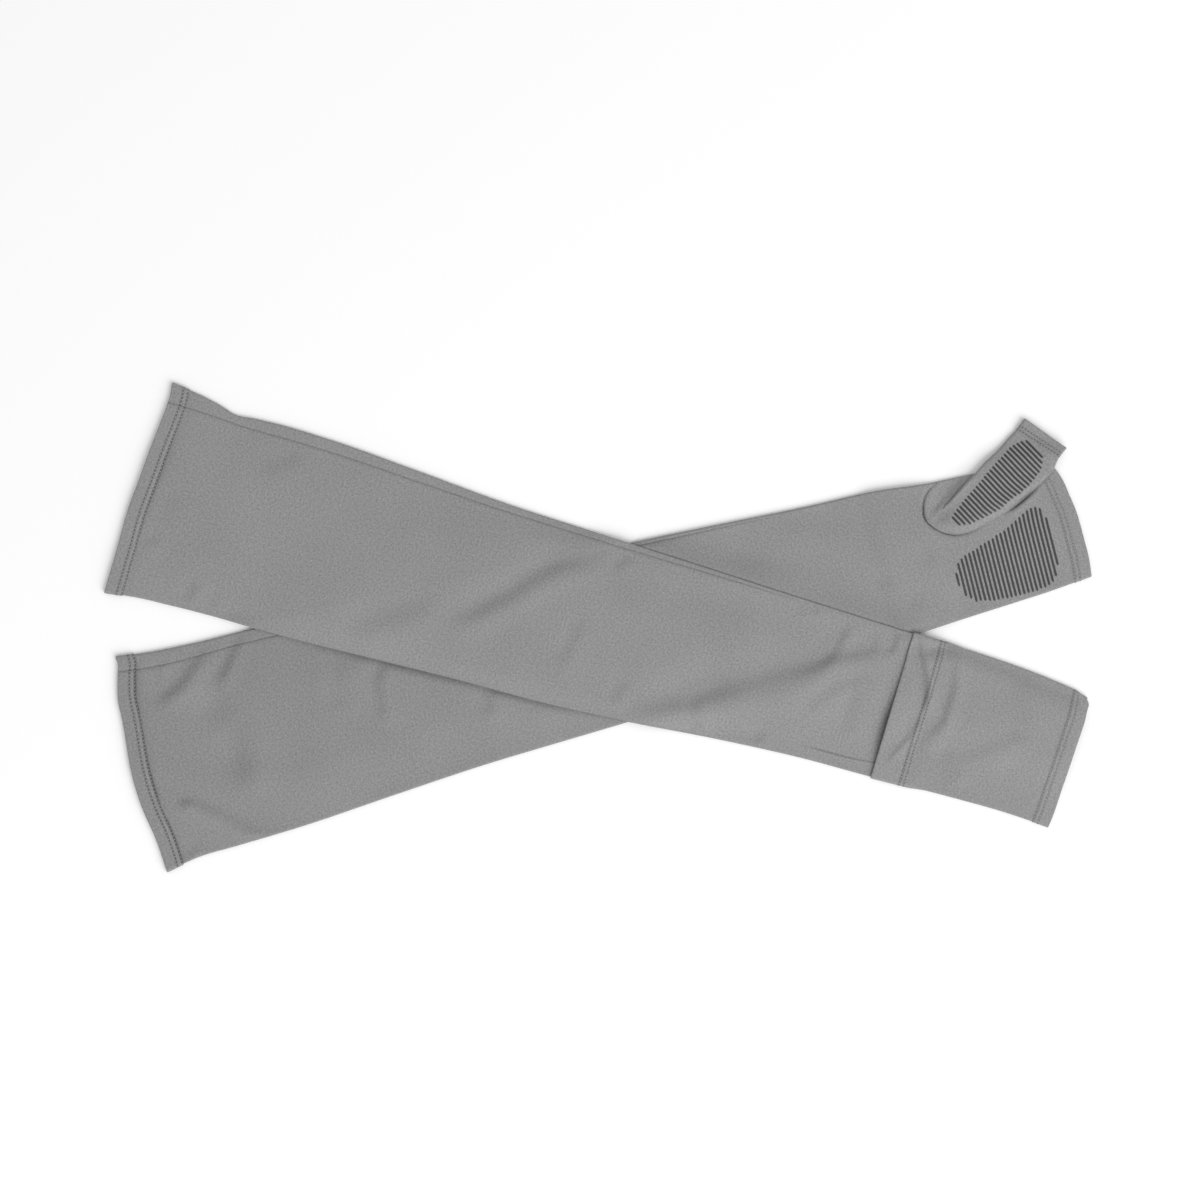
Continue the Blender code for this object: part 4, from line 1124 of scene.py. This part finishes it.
def jerseyMaterial(name, colour):
    # knitted polyester jersey: matt, with columns of small loops and a slightly mottled yarn; darkened by
    # painted shade between the loops and by the painted shade that the cloth's creaseShade attribute carries
    material, tree = newMaterial(name)
    place = addNode(tree, "ShaderNodeUVMap", uv_map="clothMap")
    parts = addNode(tree, "ShaderNodeSeparateXYZ", {0: place})
    wale, course = (
        addNode(tree, "ShaderNodeMath", {0: parts.outputs[way], 1: jersey[size]}, operation="DIVIDE")
        for way, size in (("X", "waleWidth"), ("Y", "courseHeight")))
    wobble, spots, clouds = (
        addNode(tree, "ShaderNodeTexNoise",
                {"Vector": place, "Scale": 1 / jersey[size], "Detail": detail, "Roughness": roughness})
        for size, detail, roughness in (
            ("wobbleSize", 2.0, 0.5), ("mottleSize", 3.0, 0.65), ("cloudSize", 2.0, 0.5)))
    # each wale is a column of V-shaped loops: the course phase runs up both arms of the V
    arm = addNode(tree, "ShaderNodeMath", {0: wale, 1: 0.5}, operation="PINGPONG")
    phase = addNode(tree, "ShaderNodeMath", {0: arm, 1: jersey["lean"], 2: course}, operation="MULTIPLY_ADD")
    loops = addNode(tree, "ShaderNodeMath", {0: phase, 1: 0.5}, operation="PINGPONG")
    ribs = addNode(tree, "ShaderNodeMath", {0: wale, 1: 0.25}, operation="PINGPONG")
    loopTop, ribTop = (
        addNode(tree, "ShaderNodeMath", {0: shape, 1: top[0], 2: top[1]}, operation="SMOOTH_MIN")
        for shape, top in ((loops, jersey["loopTop"]), (ribs, jersey["ribTop"])))
    knit = addNode(tree, "ShaderNodeMath", {0: ribTop, 1: jersey["ribShare"], 2: loopTop},
                   operation="MULTIPLY_ADD")
    rough = addNode(tree, "ShaderNodeMath", {0: wobble, 1: jersey["wobble"], 2: knit},
                    operation="MULTIPLY_ADD")
    bump = addNode(tree, "ShaderNodeBump",
                   {"Height": rough, "Strength": 1.0, "Distance": jersey["knitDepth"]})
    noises = addNode(tree, "ShaderNodeMath", {0: clouds, 1: jersey["cloudShare"], 2: spots},
                     operation="MULTIPLY_ADD")
    # painted shade from the cloth: in seams, needle rows, the slit, the crevice and beside the other sleeve
    seam = addNode(tree, "ShaderNodeAttribute", attribute_name="creaseShade").outputs["Fac"]
    shades = [
        addNode(tree, "ShaderNodeMapRange",
                {"Value": value, "From Min": start, "From Max": end, "To Min": low, "To Max": high})
        for value, start, end, low, high in (
            (noises, 0.36, 0.76, 1 - jersey["mottle"], 1 + jersey["mottle"]),
            (knit, 0.0, 0.5, *jersey["loopShade"]), (seam, 0.0, 1.0, 1.0, jersey["seamShade"]))]
    product = addNode(tree, "ShaderNodeMath", {0: shades[0], 1: shades[1]}, operation="MULTIPLY")
    product = addNode(tree, "ShaderNodeMath", {0: product, 1: shades[2]}, operation="MULTIPLY")
    tint = addNode(tree, "ShaderNodeVectorMath", {0: linear(colour)[:3], "Scale": product}, operation="SCALE")
    shader = addNode(tree, "ShaderNodeBsdfPrincipled", {
        "Base Color": tint, "Normal": bump, "Roughness": jersey["roughness"], "Sheen Weight": jersey["sheen"],
        "Sheen Roughness": jersey["sheenRoughness"], "Specular IOR Level": jersey["specular"]})
    addNode(tree, "ShaderNodeOutputMaterial", {"Surface": shader})
    return material


def plainMaterial(name, colour, roughness, grain, grainDepth):
    # one colour, a little uneven, with a fine grain in the surface
    material, tree = newMaterial(name)
    place = addNode(tree, "ShaderNodeTexCoord")
    noise = addNode(tree, "ShaderNodeTexNoise",
                    {"Vector": place.outputs["Object"], "Scale": 1 / grain, "Detail": 2.0})
    bump = addNode(tree, "ShaderNodeBump", {"Height": noise, "Strength": 1.0, "Distance": grainDepth})
    factor = addNode(tree, "ShaderNodeMapRange",
                     {"Value": noise, "From Min": 0.3, "From Max": 0.7, "To Min": 0.92, "To Max": 1.08})
    tint = addNode(tree, "ShaderNodeVectorMath", {0: linear(colour)[:3], "Scale": factor}, operation="SCALE")
    shader = addNode(tree, "ShaderNodeBsdfPrincipled",
                     {"Base Color": tint, "Normal": bump, "Roughness": roughness})
    addNode(tree, "ShaderNodeOutputMaterial", {"Surface": shader})
    return material


armJersey, handJersey, thumbJersey = (
    jerseyMaterial("knitted polyester jersey, " + part, jersey[part]) for part in ("arm", "hand", "thumb"))
# printed silicone is dark and half matt, sewing thread a little lighter than the cloth
silicone = plainMaterial("screen-printed silicone", "#373636", 0.6, 0.0006, 0.00002)
sewingThread = plainMaterial("polyester sewing thread", "#9A9A9A", 0.7, 0.0003, 0.00004)
print("materials ready")

# --- rows of stitches and grip stripes
sewing = {                  # millimetres
    "spacing": 2.1, "stitchLength": 1.25, "stitchWidth": 0.6, "stitchHeight": 0.3,
    "unevenTurn": 0.12, "seed": 3, "out": 0.05,
    "wideSpacing": 2.3, "tickLength": 0.7, "tickWidth": 1.2,    # on the wide hems they lie across the row
}
ladder = {"thread": 0.4, "endLength": 0.4, "across": (-18.0, -47.0), "step": -0.95, "out": 0.06}
gripPrint = {"width": 1.45, "height": 0.24, "endLength": 0.8, "sink": 0.03}


def newTree(name, inputs):
    tree = bpy.data.node_groups.new(name, "GeometryNodeTree")
    tree.interface.new_socket("Geometry", in_out="INPUT", socket_type="NodeSocketGeometry")
    tree.interface.new_socket("Geometry", in_out="OUTPUT", socket_type="NodeSocketGeometry")
    for label, kind in inputs.items():
        tree.interface.new_socket(label, in_out="INPUT", socket_type="NodeSocket" + kind)
    return tree, addNode(tree, "NodeGroupInput").outputs


def curvesFromLines(tree, given):
    # the lines of the object as curves that keep the cloth's own outward direction
    curves = addNode(tree, "GeometryNodeMeshToCurve", {"Mesh": given["Geometry"]})
    outward = addNode(tree, "GeometryNodeInputNamedAttribute", {"Name": "outward"}, data_type="FLOAT_VECTOR")
    outward = outward.outputs["Attribute"]
    return addNode(tree, "GeometryNodeSetCurveNormal", {"Curve": curves, "Normal": outward}, mode="FREE")


def finishTree(tree, given, shape):
    realized = addNode(tree, "GeometryNodeRealizeInstances", {"Geometry": shape})
    smooth = addNode(tree, "GeometryNodeSetShadeSmooth", {"Geometry": realized})
    coated = addNode(tree, "GeometryNodeSetMaterial", {"Geometry": smooth, "Material": given["Material"]})
    addNode(tree, "NodeGroupOutput", {"Geometry": coated})
    return tree


def stitchTree():
    # small capsules of thread, one after the other along every line
    floats = dict.fromkeys(("Spacing", "Length", "Width", "Height", "Uneven Turn"), "Float")
    tree, given = newTree("stitchRows", floats | {"Seed": "Int", "Material": "Material"})
    curves = curvesFromLines(tree, given)
    points = addNode(tree, "GeometryNodeCurveToPoints", {"Curve": curves, "Length": given["Spacing"]},
                     mode="LENGTH")
    ball = addNode(tree, "GeometryNodeMeshUVSphere", {"Segments": 6, "Rings": 5, "Radius": 0.5})
    size = addNode(tree, "ShaderNodeCombineXYZ",
                   {"X": given["Height"], "Y": given["Width"], "Z": given["Length"]})
    shaped = addNode(tree, "GeometryNodeTransform", {"Geometry": ball, "Scale": size})
    most = given["Uneven Turn"]
    least = addNode(tree, "ShaderNodeMath", {0: most, 1: -1.0}, operation="MULTIPLY")
    turn = addNode(tree, "FunctionNodeRandomValue", {2: least, 3: most, "Seed": given["Seed"]},
                   data_type="FLOAT")
    leaning = addNode(tree, "FunctionNodeAxisAngleToRotation",
                      {"Axis": (1.0, 0.0, 0.0), "Angle": turn.outputs[1]})
    rotation = addNode(tree, "FunctionNodeRotateRotation",
                       {"Rotation": points.outputs["Rotation"], "Rotate By": leaning}, rotation_space="LOCAL")
    rows = addNode(tree, "GeometryNodeInstanceOnPoints",
                   {"Points": points, "Instance": shaped, "Rotation": rotation})
    return finishTree(tree, given, rows)


def strandTree():
    # a flattened round bead along every line, tapered at its ends
    floats = dict.fromkeys(("Width", "Height", "End Length"), "Float")
    tree, given = newTree("strands", floats | {"Sides": "Int", "Material": "Material"})
    ring = addNode(tree, "GeometryNodeCurvePrimitiveCircle", {"Radius": 0.5, "Resolution": given["Sides"]})
    size = addNode(tree, "ShaderNodeCombineXYZ", {"X": given["Height"], "Y": given["Width"], "Z": 1.0})
    profile = addNode(tree, "GeometryNodeTransform", {"Geometry": ring, "Scale": size})
    gone = addNode(tree, "GeometryNodeSplineParameter").outputs["Length"]
    whole = addNode(tree, "GeometryNodeSplineLength")
    rest = addNode(tree, "ShaderNodeMath", {0: whole, 1: gone}, operation="SUBTRACT")
    nearest = addNode(tree, "ShaderNodeMath", {0: gone, 1: rest}, operation="MINIMUM")
    share = addNode(tree, "ShaderNodeMath", {0: nearest, 1: given["End Length"]}, operation="DIVIDE",
                    use_clamp=True)
    rounded = addNode(tree, "ShaderNodeMath", {0: share, 1: 0.5}, operation="POWER")
    radius = addNode(tree, "ShaderNodeMath", {0: rounded, 1: 0.75, 2: 0.25}, operation="MULTIPLY_ADD")
    curves = curvesFromLines(tree, given)
    bead = addNode(tree, "GeometryNodeCurveToMesh",
                   {"Curve": curves, "Profile Curve": profile, "Scale": radius, "Fill Caps": True})
    return finishTree(tree, given, bead)


def linesObject(name, lines, tree, values):
    # lines are (points, outward directions); the tree's result is kept as a plain mesh
    mesh = bpy.data.meshes.new(name)
    points = np.concatenate([line for line, _ in lines])
    counts = np.cumsum([0] + [len(line) for line, _ in lines])
    edges = [(k, k + 1) for a, b in zip(counts[:-1], counts[1:]) for k in range(a, b - 1)]
    mesh.from_pydata((points * 0.001).tolist(), edges, [])
    outward = mesh.attributes.new("outward", "FLOAT_VECTOR", "POINT")
    outward.data.foreach_set("vector", np.concatenate([o for _, o in lines]).astype(np.float32).ravel())
    obj = addObject(name, mesh)
    modifier = obj.modifiers.new("rows", "NODES")
    modifier.node_group = tree
    for item in tree.interface.items_tree:
        if item.in_out == "INPUT" and item.name in values:
            modifier[item.identifier] = values[item.name]
    result = bpy.data.meshes.new_from_object(obj.evaluated_get(bpy.context.evaluated_depsgraph_get()))
    obj.modifiers.clear()
    obj.data = result
    bpy.data.meshes.remove(mesh)
    result.name = name
    print(name, len(lines), "lines", len(result.polygons), "faces")
    return obj


def rowOn(pointsAt, place, palmUp):
    # a row along a surface at one place, with its outward directions
    here, before, after = pointsAt(place), pointsAt(place - 0.15), pointsAt(place + 0.15)
    outward = unit(np.cross(np.gradient(here, axis=0), after - before) * (1 if palmUp else -1))
    return here + outward * sewing["out"], outward


def wideLines(sleeve):
    # the two rows of the wide hem, each all round the tube
    reach = cloth["foldReach"]
    flat, fold = meshDetail["tubeRow"]

    def tube(along):
        thumbEdge, outerEdge = edgesOf(sleeve, along)
        high, low = thumbEdge - reach, reach - outerEdge
        angles = np.linspace(0, math.pi, fold)
        level = np.linspace(high, low, flat)
        across = np.concatenate([level, np.full(fold, low), level[::-1], np.full(fold, high)])
        angle = np.concatenate([np.zeros(flat), angles, np.full(flat, math.pi), angles[::-1]])
        side = np.repeat([0.0, -1.0, 0.0, 1.0], [flat, fold, flat, fold])
        return sleevePoint(sleeve, np.full(len(side), along), across, angle, side, "armBack", reach)

    return [rowOn(tube, row, sleeve["palmUp"]) for row in cloth["hemRows"]]


def stitchLines(sleeve, thumb):
    # the rows of the finger end, palm and back, of the hand piece's loose edge and of the thumb
    count = meshDetail["rowPoints"]

    def palm(along):
        high, low = (limit[0] for limit in arcLimits(sleeve, np.array([along])))
        return arcPoint(sleeve, np.full(count, along), np.linspace(high, -low, count))

    def handBack(along):
        across, angle, side = (part[0] for part in handBackColumns(sleeve, np.array([along]), count))
        return handBackPoint(sleeve, np.full(across.size, along), across, angle, side)[::-1]

    def tip(station):
        return thumbRing(sleeve, thumb, np.array([station]))[0][0]

    end, tipEnd = cloth["length"], thumb["rows"][-1][0]
    places = [(surface, end - row) for surface in (palm, handBack) for row in cloth["hemRows"]]
    places += [(handBack, wrist["slitAt"] + row) for row in wrist["hemRows"]]
    places += [(tip, tipEnd - row) for row in thumbDetail["hemRows"]]
    return [rowOn(surface, place, sleeve["palmUp"]) for surface, place in places]


def ladderLine(sleeve):
    # looper thread that shows between the two rows where the hem has rolled a little
    across = np.arange(*ladder["across"], ladder["step"])
    first, second = cloth["hemRows"]
    along = np.where(np.arange(len(across)) % 2 == 0, first + 0.35, second - 0.35)
    zero = np.zeros(len(across))
    points = sleevePoint(sleeve, along, across, zero, zero, "armBack", cloth["foldReach"])
    return points + np.array([0, 0, ladder["out"]]), np.tile([0.0, 0.0, 1.0], (len(across), 1))


def surfaceFinder(objects):
    trees = []
    for obj in objects:
        points = [v.co.copy() for v in obj.data.vertices]
        trees.append(BVHTree.FromPolygons(points, [tuple(p.vertices) for p in obj.data.polygons]))

    def find(x, y, fromAbove):
        # the outermost cloth at this place of the plan, in millimetres
        up = 1 if fromAbove else -1
        start, inwards = Vector((x * 0.001, y * 0.001, 0.05 * up)), Vector((0, 0, -up))
        hits = [hit for hit in (tree.ray_cast(start, inwards) for tree in trees) if hit[0] is not None]
        if not hits:
            return None
        spot, normal = min(hits, key=lambda hit: hit[3])[:2]
        return np.array(spot) * 1000, np.array(normal)
    return find


def stripeLines(sleeve, stripes, find):
    # every stripe is a curve of the plan, cut off at the patch's outline and laid on the cloth
    lines = []
    for count in range(stripes["count"]):
        plan = stripes["curve"](count)
        inside = insidePolygon(np.array(stripes["outline"], float), *plan.T)
        if inside.sum() < stripes["shortest"]:
            continue
        found = [find(*planOf(sleeve, along, across), sleeve["palmUp"]) for along, across in plan[inside]]
        points, outward = (np.array(part) for part in zip(*[spot for spot in found if spot is not None]))
        if len(points) > 4:
            points[1:-1] = (points[:-2] + 2 * points[1:-1] + points[2:]) / 4
        lines.append((points + outward * (gripPrint["height"] / 2 - gripPrint["sink"]), outward))
    return lines


def palmStripe(count):
    across = np.linspace(22.0, -42.0, 90)
    lean = 0.00154 * (across + 8) ** 2 * smoothStep(-10, 20, across)
    return np.column_stack([palmGrip["firstAt"] + palmGrip["spacing"] * count + lean, across])


palmGrip = {
    "count": 24, "shortest": 4, "curve": palmStripe,    # shortest counts points
    "firstAt": 519.4, "spacing": 2.73,
    "outline": [
        (518.6, -15.5), (520.2, -9), (523, -5.2), (530, -2.0), (544, 2.0), (555.2, 6.2), (564.6, 10.5),
        (570.3, 13.6), (574.9, 15.2), (578.1, 15.1), (581.2, 12.6), (583.0, 4.4), (583.6, -6), (583.4, -16.3),
        (582.0, -26), (578.7, -32.2), (573.4, -35.4), (564.6, -36.9), (552.5, -36.6), (538.5, -35.9),
        (527.5, -33.4), (522.3, -28.8), (519.6, -22.6),
    ],
}


def thumbStripe(count):
    # steep from the fold side, then bending towards the tip near the seam side
    share = count / thumbGrip["count"]
    steep = math.radians(thumbGrip["heading"])
    flat = math.radians(thumbGrip["heading"] + thumbGrip["bend"] * (1 - share) ** 1.2)
    (firstAlong, firstAcross), (lastAlong, lastAcross) = thumbGrip["starts"]
    startAlong = firstAlong + (lastAlong - firstAlong) * share
    startAcross = firstAcross + (lastAcross - firstAcross) * share
    steps = np.linspace(-4.0, 34.0, 110)
    heading = steep + (flat - steep) * smoothStep(9.0 + 3 * share, 16.0 + 5 * share, steps)
    step = steps[1] - steps[0]
    along = startAlong + np.cumsum(np.cos(heading)) * step + steps[0] * math.cos(steep)
    across = startAcross + np.cumsum(np.sin(heading)) * step + steps[0] * math.sin(steep)
    return np.column_stack([along, across])


thumbGrip = {
    "count": 26, "shortest": 9, "curve": thumbStripe,
    "heading": -61.5, "bend": 20,       # degrees
    "starts": ((525.4, 22.3), (582.6, 61.2)),
    "outline": [
        (524.0, 20.3), (528.4, 25.2), (542.0, 34.9), (558.5, 46.4), (571.8, 55.1), (579.7, 57.0),
        (585.1, 55.6), (589.0, 50.6), (589.9, 45.7), (589.5, 41.6), (586.5, 35.6), (580.5, 30.6),
        (570.8, 25.0), (566.2, 23.6), (555.6, 18.6), (543.3, 15.9), (535.8, 14.4), (529.6, 15.2),
        (525.4, 16.9),
    ],
}
print("sewing ready")

# --- the pieces
pieces = {}
sleeves = ((leftSleeve, leftThumb), (rightSleeve, rightThumb))
for sleeve, thumb in sleeves:
    name = sleeve["name"]
    arm, gusset = armAndGusset(sleeve)
    pieces[name + "Arm"] = clothObject(name + "ArmPanel", arm, armJersey)
    pieces[name + "Hand"] = clothObject(name + "HandBack", handBackSheet(sleeve), handJersey)
    wholeThumb = joinSheets(gusset, thumbSheet(sleeve, thumb))
    pieces[name + "Thumb"] = clothObject(name + "ThumbTube", wholeThumb, thumbJersey)
print("cloth ready")


def inMetres(values, **others):
    return {label: value * 0.001 for label, value in values.items()} | others


stitches, strands = stitchTree(), strandTree()
threadLook = {"Uneven Turn": sewing["unevenTurn"], "Seed": sewing["seed"], "Material": sewingThread}
threadValues = inMetres({"Spacing": sewing["spacing"], "Length": sewing["stitchLength"],
                         "Width": sewing["stitchWidth"], "Height": sewing["stitchHeight"]}, **threadLook)
wideValues = inMetres({"Spacing": sewing["wideSpacing"], "Length": sewing["tickLength"],
                       "Width": sewing["tickWidth"], "Height": sewing["stitchHeight"]}, **threadLook)
gripValues = inMetres({"Width": gripPrint["width"], "Height": gripPrint["height"],
                       "End Length": gripPrint["endLength"]}, Sides=10, Material=silicone)
ladderValues = inMetres({"Width": ladder["thread"], "Height": ladder["thread"],
                         "End Length": ladder["endLength"]}, Sides=6, Material=sewingThread)
for sleeve, thumb in sleeves:
    name = sleeve["name"]
    arm, thumbTube = pieces[name + "Arm"], pieces[name + "Thumb"]
    for part, lines, values in (("Stitches", stitchLines(sleeve, thumb), threadValues),
                                ("WideStitches", wideLines(sleeve), wideValues)):
        pieces[name + part] = linesObject(name + part, lines, stitches, values)
    lines = stripeLines(sleeve, palmGrip, surfaceFinder([arm]))
    if sleeve["palmUp"]:
        lines += stripeLines(sleeve, thumbGrip, surfaceFinder([arm, thumbTube]))
    pieces[name + "Grips"] = linesObject(name + "GripStripes", lines, strands, gripValues)
pieces["leftLadder"] = linesObject("leftHemLadder", [ladderLine(leftSleeve)], strands, ladderValues)
print("stitches and grips ready")

slots = {"Arm": "arm_jersey", "Hand": "hand_jersey", "Thumb": "thumb_jersey", "Stitches": "sewing_thread",
         "WideStitches": "sewing_thread", "Grips": "grip_print", "Ladder": "sewing_thread"}
for name in ("left", "right"):
    arm, hand, thumbTube = (pieces[name + part] for part in ("Arm", "Hand", "Thumb"))
    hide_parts(name + "_arm_panel")
    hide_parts(name + "_hand_back")
    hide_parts(name + "_thumb")
    for part, slot in slots.items():
        if name + part in pieces:
            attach(pieces[name + part], "root")
    sewnOn = ("Stitches", "WideStitches", "Grips", "Ladder")
    sewnOn = [pieces[name + part] for part in sewnOn if name + part in pieces]


# --- table, light and camera
studio = {
    "sky": 0.66, "keyPower": 96.0, "keySize": 3.0, "keyAt": (1.75, -2.05, 2.35),
    "tableHalf": 6.0, "tableBelow": 0.0003,     # just under the cloth, so the two never share a face
    "imageWidth": 0.74728, "centre": (0.00168, 0.01715), "lens": 85.0, "sensor": 36.0,
    "midHeight": 0.002,     # of the cloth, where the image is this wide
}


def addTable():
    half = studio["tableHalf"]
    mesh = bpy.data.meshes.new("tableTop")
    corners = [(-half, -half, 0), (half, -half, 0), (half, half, 0), (-half, half, 0)]
    mesh.from_pydata(corners, [], [(0, 1, 2, 3)])
    material, tree = newMaterial("white painted board")
    shader = addNode(tree, "ShaderNodeBsdfPrincipled",
                     {"Base Color": (0.97, 0.97, 0.97, 1.0), "Roughness": 0.9, "Specular IOR Level": 0.0})
    addNode(tree, "ShaderNodeOutputMaterial", {"Surface": shader})
    mesh.materials.append(material)
    table = addObject("tableTop", mesh)
    table.location.z = -studio["tableBelow"]


def addLight():
    world = bpy.data.worlds.new("softbox room")
    world.use_nodes = True
    background = world.node_tree.nodes["Background"]
    background.inputs["Color"].default_value = (1.0, 1.0, 1.0, 1.0)
    background.inputs["Strength"].default_value = studio["sky"]
    bpy.context.scene.world = world
    data = bpy.data.lights.new("keyLight", "AREA")
    data.energy = studio["keyPower"]
    data.size = studio["keySize"]
    lamp = addObject("keyLight", data)
    lamp.location = studio["keyAt"]
    lamp.rotation_euler = (-Vector(studio["keyAt"])).to_track_quat("-Z", "Y").to_euler()


def addCamera():
    scene = bpy.context.scene
    data = bpy.data.cameras.new("overheadCamera")
    data.lens = studio["lens"]
    data.sensor_width = studio["sensor"]
    camera = addObject("overheadCamera", data)
    distance = studio["imageWidth"] * studio["lens"] / studio["sensor"]
    camera.location = (*studio["centre"], distance + studio["midHeight"])
    scene.camera = camera
    scene.view_settings.view_transform = "Standard"
    scene.view_settings.look = "None"


addTable()
addLight()
addCamera()
print("stage ready")
